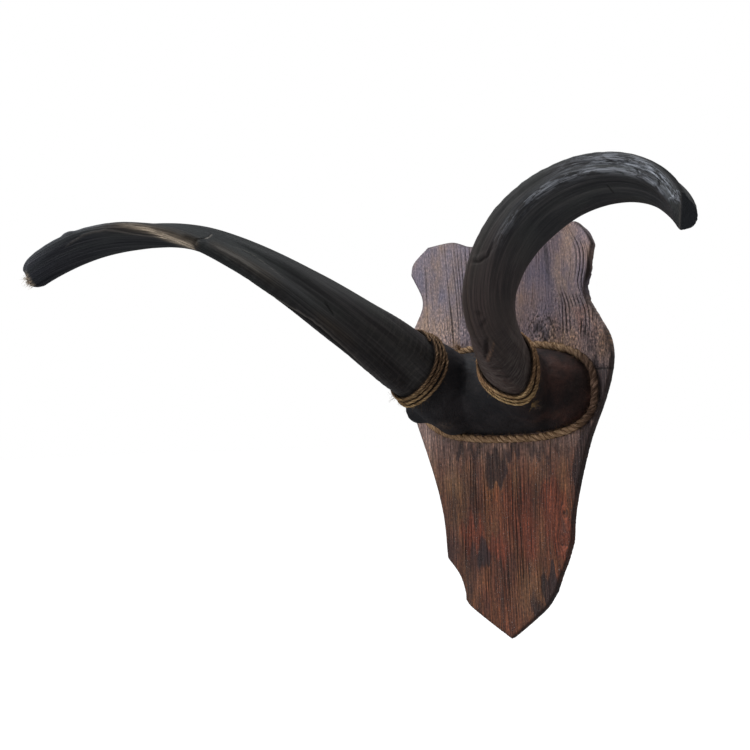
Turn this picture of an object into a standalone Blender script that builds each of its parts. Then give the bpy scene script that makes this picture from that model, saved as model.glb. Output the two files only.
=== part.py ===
# A pair of goat horns fixed to a carved wooden wall shield. A hide-covered skull plate stands on the
# board, with a sleeve of hide round the root of each horn. Jute twine binds each sleeve, and a jute
# rope lies on the board round the foot of the skull plate.
# Metres, +Z up, +X to the viewer's right, the front faces -Y. The origin is on the board's flat back,
# behind the middle of the skull plate.
import math

import bmesh
import bpy
from mathutils import Vector

MM = 0.001
GAP = 0.0003

# The board.
BOARD_THICKNESS = 0.011
BOARD_EDGE = 0.003
BOARD_CENTRE_X = -0.0045
FOOT_BELOW_ORIGIN = 0.250
# Each half of the board's outline in millimetres from the foot up, counted outwards from its middle
# line, in runs that meet at cut corners. The board is cut by hand, so the halves differ a little.
RIGHT_RUNS = (
    ((0, 0), (18.5, 15), (38, 32.5), (49.5, 49)),
    ((49.5, 49), (55.5, 65), (62.5, 81), (68.5, 98)),
    ((68.5, 98), (71.5, 126), (79, 159), (91, 199), (108.5, 241), (117, 274), (115, 297), (104.5, 318),
     (95.5, 335), (93, 347), (97.5, 367), (102.5, 389)),
    ((102.5, 389), (97, 402), (86, 413)),
    ((86, 413), (68, 414), (50, 411), (32, 404), (0, 399)),
)
LEFT_RUNS = (
    ((0, 0), (22, 14), (44, 29), (50, 36)),
    ((50, 36), (51, 46), (57, 62), (70, 78)),
    ((70, 78), (71.5, 102), (74.5, 127), (82.5, 160), (96.5, 202), (112, 248), (118, 278), (113, 302),
     (99.5, 326), (91.5, 342), (92, 356), (104, 379)),
    ((104, 379), (100, 392), (82, 407)),
    ((82, 407), (66, 408.5), (50, 408.5), (32, 402), (0, 399)),
)
RUN_STEP = 0.011

# The rope round the skull plate's foot: a superellipse on the board's face.
ROPE_RADIUS = 0.0045
ROPE_HALF_WIDTH = 0.097
ROPE_HALF_HEIGHT = 0.047
ROPE_POWER = 2.8
ROPE_CENTRE_Z = -0.002
ROPE_SIDES = 7
ROPE_STEPS = 60
ROPE_SEAT_GAP = 0.0004
PATH_SAMPLES = 2000

# The skull plate under its hide.
BOSS_HEIGHT = 0.058
BOSS_LIFT = 0.22
BOSS_RINGS = 9
BOSS_SIDES = 48
BOSS_INSET = 0.0036
BOSS_SHOULDER = 0.36
BOSS_TOP = 0.12
# The blank starts inside the board's thickness, and its foot is cut flat afterwards.
BOSS_START = -0.010
HIDE_WALL = 0.0032
HIDE_FLARE = 0.005
FLARE_STARTS = 0.0095
FLARE_POWER = 0.6
SLEEVE_RIM = 0.0078
SLEEVE_INSIDE = 0.092
SLEEVE_SIDES = 40
SLEEVE_STEPS = 12
SOCKET_GAP = 0.0005
SOCKET_PAST_RIM = 0.012
VOXEL = 0.0026
BOSS_TRIANGLES = 1100
SMOOTH_PASSES = 14
SMOOTH_FACTOR = 0.6
# How far behind the twine's middle the smoothing starts.
SMOOTH_STARTS = 0.012

# The horns. Each route runs through the middle of the horn, from the twine to the tip, in millimetres,
# with X counted outwards from the shield's middle line.
RIGHT_ROUTE = ((45, -95, 20), (63, -172, 45), (92, -233, 86), (159, -266, 132), (238, -297, 137),
               (276, -314, 111), (292, -349, 87))
LEFT_ROUTE = ((49, -98, 20), (53, -170, 46), (102, -229, 99), (159, -273, 140), (205, -289, 152),
              (267, -333, 144), (294, -363, 110))
# Share of the length against breadth and thickness in millimetres.
HORN_BREADTH = ((0.0, 62), (0.12, 62), (0.3, 58), (0.45, 54), (0.6, 48), (0.75, 42), (0.9, 34), (1.0, 27))
HORN_THICKNESS = ((0.0, 47), (0.12, 43), (0.3, 36), (0.45, 30), (0.6, 23), (0.75, 19.5), (0.9, 17.5),
                  (1.0, 15))
# The turn of the broad face about the route in degrees, at equal shares of the length.
RIGHT_TWIST = (30, -5, -55, -98, -109, -115)
LEFT_TWIST = (28, -7, -30, -49, -87, -128)
ROOT_DEPTH = 0.026
# Where the twine sits askew on each horn: how far it is moved along, how far it tilts, and the angle
# round the section in degrees where it reaches farthest along.
RIGHT_WRAP = (-0.006, 0.006, 260)
LEFT_WRAP = (0.0068, 0.0065, -6)
# How deep in the sleeve the hide starts to follow the twine.
WRAP_FADES_OVER = 0.045
KEEL_THINNING = 0.26
HOLLOW = 0.28
HOLLOW_CENTRE = -0.48
HOLLOW_SPREAD = 0.34
# The worn waves along the keel: how deep, and the pitch and start of each wave per metre of length.
KEEL_WEAR = 0.012
KEEL_WAVES = ((410, 0.0), (173, 1.3), (689, 0.4))
KEEL_SHARPNESS = 6
WEAR_STARTS_OVER = 0.02
HORN_SIDES = 20
HORN_RINGS = 44
TIP_RINGS = 4
TIP_TURN = 0.44 * math.pi
# The left horn ends in a worn, rounded stub, and the right one in a flat cut. Each row holds how far
# the end rounds off, and the share of the section that is left at its face.
LEFT_TIP = (0.020, 0.35)
RIGHT_TIP = (0.002, 0.88)

# The twine round each sleeve.
TWINE_DIAMETER = 0.0038
TWINE_TURNS = 4
TWINE_BITE = 0.0008
TWINE_STEPS = 28
TWINE_CREST_POINTS = 3
SEAT_ROOM = 0.004


def clear_scene():
    for old in list(bpy.data.objects):
        bpy.data.objects.remove(old, do_unlink=True)


def finish_material(name, color, roughness):
    material = bpy.data.materials.new(name)
    material.use_nodes = True
    shader = material.node_tree.nodes["Principled BSDF"]
    shader.inputs["Base Color"].default_value = (*color, 1.0)
    shader.inputs["Roughness"].default_value = roughness
    shader.inputs["Metallic"].default_value = 0.0
    return material


def add_object(name, work, material=None, smooth_angle=None):
    """Turns a bmesh into a named object, shaded smooth below the given angle in degrees."""
    bmesh.ops.recalc_face_normals(work, faces=work.faces[:])
    mesh = bpy.data.meshes.new(name)
    work.to_mesh(mesh)
    work.free()
    if smooth_angle is not None:
        mesh.shade_smooth()
        mesh.set_sharp_from_angle(angle=math.radians(smooth_angle))
    if material is not None:
        mesh.materials.append(material)
    made = bpy.data.objects.new(name, mesh)
    bpy.context.scene.collection.objects.link(made)
    return made


def as_cutter(made):
    made.hide_render = True
    made.display_type = "WIRE"
    return made


def spline_point(points, share):
    """A point on the clamped cubic B-spline of the given control points, by de Boor's rule."""
    spans = len(points) - 3
    place = min(max(share, 0.0), 1.0 - 1e-9) * spans
    span = int(place)
    knots = [min(max(index - 3, 0), spans) for index in range(len(points) + 4)]
    work = [Vector(points[span + index]) for index in range(4)]
    for level in range(1, 4):
        for index in range(3, level - 1, -1):
            low = knots[index + span]
            high = knots[index + 4 - level + span]
            weight = (place - low) / (high - low)
            work[index] = work[index - 1].lerp(work[index], weight)
    return work[3]


def table_value(rows, share):
    """A smooth value through rows of share and value, by Hermite's cubic."""
    index = 0
    while index < len(rows) - 2 and share > rows[index + 1][0]:
        index += 1
    slopes = []
    for middle in (index, index + 1):
        before = rows[max(middle - 1, 0)]
        after = rows[min(middle + 1, len(rows) - 1)]
        slopes.append((after[1] - before[1]) / (after[0] - before[0]))
    (low, start), (high, end) = rows[index], rows[index + 1]
    width = high - low
    part = (share - low) / width
    rise = part * part * (3 - 2 * part)
    lead = part * (1 - part) ** 2 * slopes[0] * width
    lag = part * part * (part - 1) * slopes[1] * width
    return start + (end - start) * rise + lead + lag


def even_rows(values):
    return [(index / (len(values) - 1), value) for index, value in enumerate(values)]


class Horn:
    """The route of one horn, with the directions of its breadth and thickness along the way."""

    samples = 400

    def __init__(self, route, twist, wrap, side):
        self.side = side
        self.wrap = wrap
        self.twist = even_rows(twist)
        dense = [spline_point(route, index / self.samples) * MM for index in range(self.samples + 1)]
        self.places = [0.0]
        for before, after in zip(dense, dense[1:]):
            self.places.append(self.places[-1] + (after - before).length)
        self.length = self.places[-1]
        self.dense = dense
        self.ups = []
        up = Vector((0, 0, 1))
        for index in range(len(dense)):
            along = self.tangent(index)
            up = (up - along * up.dot(along)).normalized()
            self.ups.append(up)

    def tangent(self, index):
        low = max(index - 1, 0)
        high = min(index + 1, len(self.dense) - 1)
        return (self.dense[high] - self.dense[low]).normalized()

    def frame(self, distance):
        """Centre, direction, breadth and thickness directions at a distance from the twine."""
        share = min(max(distance / self.length, 0.0), 1.0)
        index = 0
        while index < self.samples - 1 and self.places[index + 1] < distance:
            index += 1
        span = self.places[index + 1] - self.places[index]
        part = (distance - self.places[index]) / span
        if distance < 0:
            along = self.tangent(0)
            centre = self.dense[0] + along * distance
            up = self.ups[0]
        else:
            along = self.tangent(index).lerp(self.tangent(index + 1), part).normalized()
            centre = self.dense[index].lerp(self.dense[index + 1], min(part, 1.0))
            up = self.ups[index].lerp(self.ups[index + 1], part).normalized()
        across = along.cross(up)
        angle = math.radians(table_value(self.twist, share))
        breadth = up * math.cos(angle) + across * math.sin(angle)
        thickness = across * math.cos(angle) - up * math.sin(angle)
        return centre, along, breadth, thickness

    def size(self, distance):
        share = min(max(distance / self.length, 0.0), 1.0)
        breadth = table_value(HORN_BREADTH, share)
        thickness = table_value(HORN_THICKNESS, share)
        return breadth * MM / 2, thickness * MM / 2

    def askew(self, distance, angle):
        """The distance along the horn of a point on the wrapping, which sits at a tilt."""
        moved, tilt, farthest = self.wrap
        follows = min(max(1 + (distance + SMOOTH_STARTS) / WRAP_FADES_OVER, 0.0), 1.0)
        return distance + (moved + tilt * math.cos(angle - math.radians(farthest))) * follows

    def place(self, centre, offset):
        point = centre + offset
        return Vector((point.x * self.side, point.y, point.z))

    def distance_ahead(self, point):
        """How far a point lies in front of where the twine's middle comes lowest."""
        own_side = Vector((point.x * self.side, point.y, point.z))
        return (own_side - self.dense[0]).dot(self.tangent(0)) - self.wrap[0] + self.wrap[1]


def horn_ring(horn, distance, sides, grow=0.0, scale=1.0, detail=1.0, askew=False):
    """One section of the horn: round at the back, thin at the keel, hollow on the inboard face."""
    centre, _, breadth, thickness = horn.frame(distance)
    half_breadth, half_thickness = horn.size(distance)
    ring = []
    for index in range(sides):
        angle = 2 * math.pi * index / sides
        if askew:
            centre, _, breadth, thickness = horn.frame(horn.askew(distance, angle))
        across = math.cos(angle)
        deep = math.sin(angle) * (1 + KEEL_THINNING * across)
        if deep > 0:
            spread = (across - HOLLOW_CENTRE) / HOLLOW_SPREAD
            deep *= 1 - detail * HOLLOW * math.exp(-spread * spread)
        if across < 0:
            wave = sum(math.sin(distance * pitch + start) for pitch, start in KEEL_WAVES)
            across *= 1 + detail * KEEL_WEAR * wave * (-across) ** KEEL_SHARPNESS
        offset = breadth * (across * half_breadth * scale) + thickness * (deep * half_thickness * scale)
        if grow:
            offset += offset.normalized() * grow
        ring.append(horn.place(centre, offset))
    return ring


def loft(rings, close=False):
    """Skins a list of rings of points, and caps its two ends unless the rings close on themselves."""
    work = bmesh.new()
    made = [[work.verts.new(point) for point in ring] for ring in rings]
    pairs = list(zip(made, made[1:]))
    if close:
        pairs.append((made[-1], made[0]))
    for low, high in pairs:
        for index in range(len(low)):
            after = (index + 1) % len(low)
            work.faces.new((low[index], low[after], high[after], high[index]))
    if not close:
        work.faces.new(list(reversed(made[0])))
        work.faces.new(made[-1])
    return work


def make_horn(name, horn, tip, material):
    tip_round, tip_flat = tip
    distances = [-ROOT_DEPTH + (horn.length + ROOT_DEPTH - tip_round) * index / HORN_RINGS
                 for index in range(HORN_RINGS + 1)]
    rings = []
    for distance in distances:
        detail = min(max(distance / WEAR_STARTS_OVER, 0.0), 1.0)
        rings.append(horn_ring(horn, distance, HORN_SIDES, detail=detail))
    for index in range(1, TIP_RINGS + 1):
        angle = TIP_TURN * index / TIP_RINGS
        distance = horn.length - tip_round + tip_round * math.sin(angle)
        rings.append(horn_ring(horn, distance, HORN_SIDES, scale=tip_flat + (1 - tip_flat) * math.cos(angle)))
    return add_object(name, loft(rings), material, smooth_angle=40)


def socket_cutter(name, horn):
    """The room for a horn's root: the root itself with a gap all round."""
    back = -ROOT_DEPTH - GAP
    end = SLEEVE_RIM + SOCKET_PAST_RIM + abs(horn.wrap[0]) + horn.wrap[1]
    distances = (back, 0.0, end / 2, end)
    rings = [horn_ring(horn, distance, HORN_SIDES, grow=SOCKET_GAP, detail=0.0) for distance in distances]
    return as_cutter(add_object(name, loft(rings)))


def twine_ring(horn, distance, radial, sides):
    half_breadth, half_thickness = horn.size(0.0)
    ring = []
    for index in range(sides):
        angle = 2 * math.pi * index / sides
        centre, _, breadth, thickness = horn.frame(horn.askew(distance, angle))
        across = math.cos(angle)
        deep = math.sin(angle) * (1 + KEEL_THINNING * across)
        offset = breadth * (across * half_breadth) + thickness * (deep * half_thickness)
        offset += offset.normalized() * radial
        ring.append(horn.place(centre, offset))
    return ring


def twine_profile():
    """Distance along the horn and height above the hide, round the section of the wound band."""
    half = TWINE_DIAMETER * TWINE_TURNS / 2
    base = HIDE_WALL - TWINE_BITE
    outline = [(-half, base), (0.0, base), (half, base)]
    for turn in reversed(range(TWINE_TURNS)):
        middle = -half + TWINE_DIAMETER * (turn + 0.5)
        for point in range(TWINE_CREST_POINTS):
            angle = math.pi * (point + 0.5) / TWINE_CREST_POINTS
            along = middle + TWINE_DIAMETER / 2 * math.cos(angle)
            outline.append((along, base + TWINE_DIAMETER * (0.5 + 0.5 * math.sin(angle))))
    return outline


def make_twine(name, horn, material):
    profile = twine_profile()
    rings = [twine_ring(horn, along, height, TWINE_STEPS) for along, height in profile]
    return add_object(name, loft(rings, close=True), material, smooth_angle=60)


def twine_cutter(name, horn):
    """A plain band which presses the twine's seat into the hide, and runs out past the sleeve's rim."""
    half = TWINE_DIAMETER * TWINE_TURNS / 2
    start = -half - GAP
    end = SLEEVE_RIM + SEAT_ROOM
    inner = HIDE_WALL - TWINE_BITE - GAP
    outer = HIDE_WALL + TWINE_DIAMETER + SEAT_ROOM
    corners = ((start, inner), (0.0, inner), (half, inner), (end, inner), (end, outer), (start, outer))
    rings = [twine_ring(horn, along, height, TWINE_STEPS) for along, height in corners]
    return as_cutter(add_object(name, loft(rings, close=True)))


def superellipse(half_width, half_height, power, angle):
    cosine = math.cos(angle)
    sine = math.sin(angle)
    across = math.copysign(abs(cosine) ** (2 / power), cosine) * half_width
    up = math.copysign(abs(sine) ** (2 / power), sine) * half_height
    return across, up


def rope_path():
    """Evenly spaced points of the rope's middle line on the board."""
    fine = [superellipse(ROPE_HALF_WIDTH, ROPE_HALF_HEIGHT, ROPE_POWER, 2 * math.pi * index / PATH_SAMPLES)
            for index in range(PATH_SAMPLES + 1)]
    places = [0.0]
    for before, after in zip(fine, fine[1:]):
        places.append(places[-1] + math.dist(before, after))
    level = -BOARD_THICKNESS - GAP - ROPE_RADIUS
    path = []
    index = 0
    for step in range(ROPE_STEPS):
        wanted = places[-1] * step / ROPE_STEPS
        while places[index + 1] < wanted:
            index += 1
        across, up = fine[index]
        path.append(Vector((across, level, ROPE_CENTRE_Z + up)))
    return path


def rope_mesh(radius):
    path = rope_path()
    rings = []
    for index, centre in enumerate(path):
        along = (path[(index + 1) % ROPE_STEPS] - path[index - 1]).normalized()
        outward = Vector((0, -1, 0))
        side = along.cross(outward)
        ring = []
        for corner in range(ROPE_SIDES):
            angle = 2 * math.pi * (corner + 0.5) / ROPE_SIDES
            ring.append(centre + (side * math.cos(angle) + outward * math.sin(angle)) * radius)
        rings.append(ring)
    return loft(rings, close=True)


def boss_dome():
    """The skull plate: rings of the foot's outline that close over its top."""
    half_width = ROPE_HALF_WIDTH - BOSS_INSET
    half_height = ROPE_HALF_HEIGHT - BOSS_INSET
    rings = []
    for index in range(BOSS_RINGS):
        share = index / (BOSS_RINGS - 1)
        height = BOSS_START + (BOSS_HEIGHT - BOSS_START) * math.sin(share * math.pi / 2)
        scale = max(1 - max(height, 0.0) / BOSS_HEIGHT, 0.0) ** BOSS_SHOULDER
        scale = max(scale, BOSS_TOP)
        ring = []
        for corner in range(BOSS_SIDES):
            angle = 2 * math.pi * corner / BOSS_SIDES
            across, up = superellipse(half_width, half_height, ROPE_POWER, angle)
            lift = BOSS_LIFT * max(height, 0.0)
            ring.append(Vector((across * scale, -BOARD_THICKNESS - height,
                                ROPE_CENTRE_Z + lift + up * scale)))
        rings.append(ring)
    return loft(rings)


def sleeve_mesh(horn):
    """The hide drawn up round a horn's root, flaring where it meets the skull plate."""
    rings = []
    for index in range(SLEEVE_STEPS + 1):
        distance = SLEEVE_RIM - (SLEEVE_RIM + SLEEVE_INSIDE) * index / SLEEVE_STEPS
        depth = max(-distance - FLARE_STARTS, 0.0) / SLEEVE_INSIDE
        grow = HIDE_WALL + HIDE_FLARE * depth ** FLARE_POWER
        rings.append(horn_ring(horn, distance, SLEEVE_SIDES, grow=grow, detail=0.0, askew=True))
    return loft(rings)


def evaluated_bmesh(made):
    depsgraph = bpy.context.evaluated_depsgraph_get()
    depsgraph.update()
    work = bmesh.new()
    work.from_object(made, depsgraph)
    return work


def add_boolean(made, cutter):
    cut = made.modifiers.new(cutter.name, "BOOLEAN")
    cut.operation = "DIFFERENCE"
    cut.solver = "EXACT"
    cut.object = cutter


def make_boss(horns, material):
    """One skin over the dome and the two sleeves, smoothed where they run together."""
    blank = add_object("boss_blank", boss_dome())
    for horn in horns:
        sleeve = add_object("sleeve_blank", sleeve_mesh(horn))
        joined = blank.modifiers.new("sleeve", "BOOLEAN")
        joined.operation = "UNION"
        joined.solver = "EXACT"
        joined.object = sleeve
    skin = blank.modifiers.new("skin", "REMESH")
    skin.mode = "VOXEL"
    skin.voxel_size = VOXEL
    work = evaluated_bmesh(blank)
    soft = [vertex for vertex in work.verts
            if max(horn.distance_ahead(vertex.co) for horn in horns) < -SMOOTH_STARTS]
    for _ in range(SMOOTH_PASSES):
        bmesh.ops.smooth_vert(work, verts=soft, factor=SMOOTH_FACTOR, use_axis_x=True, use_axis_y=True,
                              use_axis_z=True)
    foot = Vector((0, -BOARD_THICKNESS - GAP, 0))
    bmesh.ops.bisect_plane(work, geom=work.verts[:] + work.edges[:] + work.faces[:], dist=1e-6,
                           plane_co=foot, plane_no=Vector((0, 1, 0)), clear_outer=True)
    rim = [edge for edge in work.edges if edge.is_boundary]
    bmesh.ops.holes_fill(work, edges=rim, sides=0)
    for old in list(bpy.data.objects):
        if old.name.startswith(("boss_blank", "sleeve_blank")):
            bpy.data.objects.remove(old, do_unlink=True)
    bmesh.ops.triangulate(work, faces=work.faces[:])
    count = len(work.faces)
    boss = add_object("boss", work, material, smooth_angle=50)
    fewer = boss.modifiers.new("fewer", "DECIMATE")
    fewer.ratio = BOSS_TRIANGLES / count
    return boss


def smooth_run(points):
    """A run of the outline as evenly spaced points on a smooth curve through its own points."""
    points = [Vector((x * MM, z * MM)) for x, z in points]
    padded = [points[0] * 2 - points[1], *points, points[-1] * 2 - points[-2]]
    run = []
    for before, start, end, after in zip(padded, padded[1:], padded[2:], padded[3:]):
        steps = max(1, round((end - start).length / RUN_STEP))
        for step in range(steps):
            part = step / steps
            run.append(0.5 * (2 * start + (end - before) * part
                              + (2 * before - 5 * start + 4 * end - after) * part ** 2
                              + (3 * start - before - 3 * end + after) * part ** 3))
    return run


def make_shield(material):
    right = [point for run in RIGHT_RUNS for point in smooth_run(run)]
    left = [point for run in LEFT_RUNS for point in smooth_run(run)]
    top = Vector((0, RIGHT_RUNS[-1][-1][1] * MM))
    left = [Vector((-point.x, point.y)) for point in reversed(left[1:])]
    work = bmesh.new()
    outline = []
    for point in [*right, top, *left]:
        outline.append(work.verts.new((point.x + BOARD_CENTRE_X, 0, point.y - FOOT_BELOW_ORIGIN)))
    back = work.faces.new(outline)
    pushed = bmesh.ops.extrude_face_region(work, geom=[back])["geom"]
    front_points = [item for item in pushed if isinstance(item, bmesh.types.BMVert)]
    bmesh.ops.translate(work, verts=front_points, vec=(0, -BOARD_THICKNESS, 0))
    rim = [edge for edge in work.edges
           if all(abs(vertex.co.y + BOARD_THICKNESS) < 1e-6 for vertex in edge.verts)]
    bmesh.ops.bevel(work, geom=rim, offset=BOARD_EDGE, segments=2, profile=0.5, affect="EDGES", material=-1,
                    clamp_overlap=True)
    return add_object("shield", work, material, smooth_angle=30)


def build():
    clear_scene()
    wood = finish_material("wood", (0.16, 0.065, 0.035), 0.55)
    hide = finish_material("hide", (0.035, 0.018, 0.012), 0.5)
    keratin = finish_material("keratin", (0.022, 0.023, 0.026), 0.38)
    jute = finish_material("jute", (0.30, 0.19, 0.085), 0.9)

    right = Horn(RIGHT_ROUTE, RIGHT_TWIST, RIGHT_WRAP, 1)
    left = Horn(LEFT_ROUTE, LEFT_TWIST, LEFT_WRAP, -1)
    make_shield(wood)
    boss = make_boss((right, left), hide)
    make_horn("horn_right", right, RIGHT_TIP, keratin)
    make_horn("horn_left", left, LEFT_TIP, keratin)
    make_twine("twine_right", right, jute)
    make_twine("twine_left", left, jute)
    add_object("border_rope", rope_mesh(ROPE_RADIUS), jute, smooth_angle=60)

    cutters = [as_cutter(add_object("rope_seat", rope_mesh(ROPE_RADIUS + ROPE_SEAT_GAP)))]
    for name, horn in (("right", right), ("left", left)):
        cutters.append(twine_cutter("twine_seat_" + name, horn))
        cutters.append(socket_cutter("socket_" + name, horn))
    for cutter in cutters:
        add_boolean(boss, cutter)


build()
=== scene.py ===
# Two goat horns on a carved wooden wall shield: the finish of every surface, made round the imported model.
# Metres, +Z up, +X to the viewer's right, the front faces -Y.
import math

import bmesh
import bpy
import numpy as np
from mathutils import Matrix, Vector, kdtree, noise


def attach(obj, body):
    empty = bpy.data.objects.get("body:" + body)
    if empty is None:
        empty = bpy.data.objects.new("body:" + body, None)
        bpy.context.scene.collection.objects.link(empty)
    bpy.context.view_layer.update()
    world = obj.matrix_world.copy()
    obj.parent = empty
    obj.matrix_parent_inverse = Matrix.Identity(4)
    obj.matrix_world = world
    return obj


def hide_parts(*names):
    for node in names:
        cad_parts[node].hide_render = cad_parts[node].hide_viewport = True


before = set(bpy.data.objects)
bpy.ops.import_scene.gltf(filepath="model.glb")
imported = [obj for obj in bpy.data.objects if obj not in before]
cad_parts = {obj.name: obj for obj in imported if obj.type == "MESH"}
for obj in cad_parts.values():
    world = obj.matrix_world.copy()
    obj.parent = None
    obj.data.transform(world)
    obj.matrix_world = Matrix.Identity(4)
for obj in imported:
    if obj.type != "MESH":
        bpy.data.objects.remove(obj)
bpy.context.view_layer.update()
mm = 0.001
draws = np.random.default_rng(7)


# Camera, floor and light

viewSetup = {
    "place": (0.4804, -0.9852, -0.0379),
    "right": (0.835, 0.549, -0.031),
    "up": (0.055, -0.028, 0.998),
    "lens": 51.0,
    "sensor": 36.0,
    "floorLevel": -0.62,
    "floorSize": 60.0,
    "floorColor": (0.30, 0.30, 0.31, 1.0),
    "worldSeen": 1.0,
    "worldLight": 0.30,
}

lightSetup = {
    "key": {"place": (-0.70, -1.60, 1.90), "size": 1.6, "power": 48.0, "color": (0.95, 0.98, 1.0)},
    "front": {"place": (-0.60, -2.00, -0.60), "size": 1.8, "power": 34.0, "color": (1.0, 0.97, 0.94)},
    "top": {"place": (0.30, 0.30, 2.00), "size": 1.3, "power": 16.0, "color": (0.95, 0.98, 1.0)},
}


def makeCamera(setup):
    data = bpy.data.cameras.new("photoCamera")
    data.lens = setup["lens"]
    data.sensor_width = setup["sensor"]
    data.clip_start = 0.01
    data.clip_end = 100.0
    right = Vector(setup["right"]).normalized()
    up = Vector(setup["up"])
    up = (up - right * up.dot(right)).normalized()
    back = right.cross(up)
    turn = Matrix((right, up, back)).transposed()
    camera = bpy.data.objects.new("photoCamera", data)
    camera.matrix_world = Matrix.Translation(setup["place"]) @ turn.to_4x4()
    bpy.context.scene.collection.objects.link(camera)
    bpy.context.scene.camera = camera
    bpy.context.scene.view_settings.view_transform = "Standard"


def makeStudio(setup, lamps):
    work = bmesh.new()
    bmesh.ops.create_grid(work, x_segments=1, y_segments=1, size=setup["floorSize"] / 2)
    bmesh.ops.translate(work, verts=work.verts[:], vec=(0, 0, setup["floorLevel"]))
    mesh = bpy.data.meshes.new("floor")
    work.to_mesh(mesh)
    work.free()
    floor = bpy.data.objects.new("floor", mesh)
    bpy.context.scene.collection.objects.link(floor)
    paint = Finish("floorPaint", roughness=0.9, specular=0.0)
    paint.set("Base Color", setup["floorColor"])
    paint.set("Emission Color", paint.blend(paint.add("ShaderNodeLightPath"), tone(0, 0, 0), tone(1, 1, 1)))
    paint.set("Emission Strength", 1.0)
    mesh.materials.append(paint.material)

    world = bpy.data.worlds.new("studio")
    bpy.context.scene.world = world
    world.use_nodes = True
    tree = world.node_tree
    background = tree.nodes["Background"]
    seen = tree.nodes.new("ShaderNodeLightPath")
    strength = tree.nodes.new("ShaderNodeMapRange")
    strength.inputs["To Min"].default_value = setup["worldLight"]
    strength.inputs["To Max"].default_value = setup["worldSeen"]
    tree.links.new(seen.outputs["Is Camera Ray"], strength.inputs["Value"])
    tree.links.new(strength.outputs[0], background.inputs["Strength"])
    background.inputs["Color"].default_value = (1.0, 1.0, 1.0, 1.0)

    for name, lamp in lamps.items():
        data = bpy.data.lights.new(name, "AREA")
        data.shape = "DISK"
        data.size = lamp["size"]
        data.energy = lamp["power"]
        data.color = lamp["color"]
        made = bpy.data.objects.new(name, data)
        place = Vector(lamp["place"])
        made.location = place
        made.rotation_euler = (-place).to_track_quat("-Z", "Y").to_euler()
        bpy.context.scene.collection.objects.link(made)


# Shader maths: a wrapped socket, and the one method that adds nodes

class Wire:
    def __init__(self, paint, socket):
        self.paint = paint
        self.socket = socket

    def maths(self, operation, *others, clamp=False):
        values = dict(enumerate((self, *others)))
        return self.paint.add("ShaderNodeMath", {"operation": operation, "use_clamp": clamp}, values)

    def __add__(self, other):
        return self.maths("ADD", other)

    def __radd__(self, other):
        return self.maths("ADD", other)

    def __sub__(self, other):
        return self.maths("SUBTRACT", other)

    def __rsub__(self, other):
        return self.paint.add("ShaderNodeMath", {"operation": "SUBTRACT"}, {0: other, 1: self})

    def __mul__(self, other):
        return self.maths("MULTIPLY", other)

    def __rmul__(self, other):
        return self.maths("MULTIPLY", other)

    def __truediv__(self, other):
        return self.maths("DIVIDE", other)

    def clamped(self):
        return self.maths("ADD", 0.0, clamp=True)

    # 0 below low, 1 above high, with a smooth rise between
    def rise(self, low, high):
        values = {"Value": self, "From Min": low, "From Max": high}
        return self.paint.add("ShaderNodeMapRange", {"interpolation_type": "SMOOTHSTEP"}, values)

    def fall(self, low, high):
        return 1 - self.rise(low, high)


class Finish:
    def __init__(self, name, roughness=0.5, specular=0.5):
        self.material = bpy.data.materials.new(name)
        self.material.use_nodes = True
        self.tree = self.material.node_tree
        self.shader = self.tree.nodes["Principled BSDF"]
        self.set("Roughness", roughness)
        self.set("Specular IOR Level", specular)

    def set(self, name, value):
        socket = self.shader.inputs[name]
        if isinstance(value, Wire):
            self.tree.links.new(value.socket, socket)
        else:
            socket.default_value = value

    def add(self, kind, settings=None, values=None, output=0):
        node = self.tree.nodes.new(kind)
        for name, value in (settings or {}).items():
            if name == "stops":
                self.fillRamp(node, value)
            else:
                setattr(node, name, value)
        for name, value in (values or {}).items():
            if isinstance(value, Wire):
                self.tree.links.new(value.socket, node.inputs[name])
            else:
                node.inputs[name].default_value = value
        return Wire(self, node.outputs[output])

    def fillRamp(self, node, stops):
        bands = node.color_ramp.elements
        while len(bands) < len(stops):
            bands.new(1.0)
        for band, (place, color) in zip(bands, stops):
            band.position = place
            band.color = (*color, 1.0)

    def objectPlace(self):
        return self.add("ShaderNodeTexCoord", output=3)

    def attribute(self, name, vector=False):
        return self.add("ShaderNodeAttribute", {"attribute_name": name}, output=1 if vector else 2)

    def parts(self, vector):
        return [self.add("ShaderNodeSeparateXYZ", values={0: vector}, output=axis) for axis in range(3)]

    def stretched(self, place, scale, shift=(0.0, 0.0, 0.0)):
        return self.add("ShaderNodeMapping", values={"Vector": place, "Scale": scale, "Location": shift})

    def cloud(self, place, scale=1.0, detail=3.0, roughness=0.55):
        values = {"Vector": place, "Scale": scale, "Detail": detail, "Roughness": roughness}
        return self.add("ShaderNodeTexNoise", values=values)

    def cells(self, place, scale):
        return self.add("ShaderNodeTexVoronoi", values={"Vector": place, "Scale": scale})

    def blend(self, amount, first, second, way="MIX"):
        values = {0: amount, 6: first, 7: second}
        return self.add("ShaderNodeMix", {"data_type": "RGBA", "blend_type": way}, values, output=2)

    def times(self, color, factor):
        return self.blend(1.0, color, factor, way="MULTIPLY")

    # the color multiplied by the factor where the mask is 1
    def tinted(self, mask, color, factor):
        return self.blend(mask, color, self.times(color, factor))

    def ramp(self, amount, stops):
        return self.add("ShaderNodeValToRGB", {"stops": stops}, {0: amount})

    def bump(self, height, distance, strength):
        values = {"Height": height, "Distance": distance, "Strength": strength}
        return self.add("ShaderNodeBump", values=values)


def tone(red, green, blue):
    return (red, green, blue, 1.0)


# Shared making

def noiseOver(points, scale, shift=0.0):
    # one smooth value from -1 to 1 at each point
    spread = points * np.array(scale) + shift
    return np.array([noise.noise(row) for row in spread.tolist()])


def layeredNoise(points, layers):
    # patterns laid over each other: how strong each one is, its bumps per metre, and where it starts
    return sum(strength * noiseOver(points, scale, start) for strength, scale, start in layers)


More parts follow.
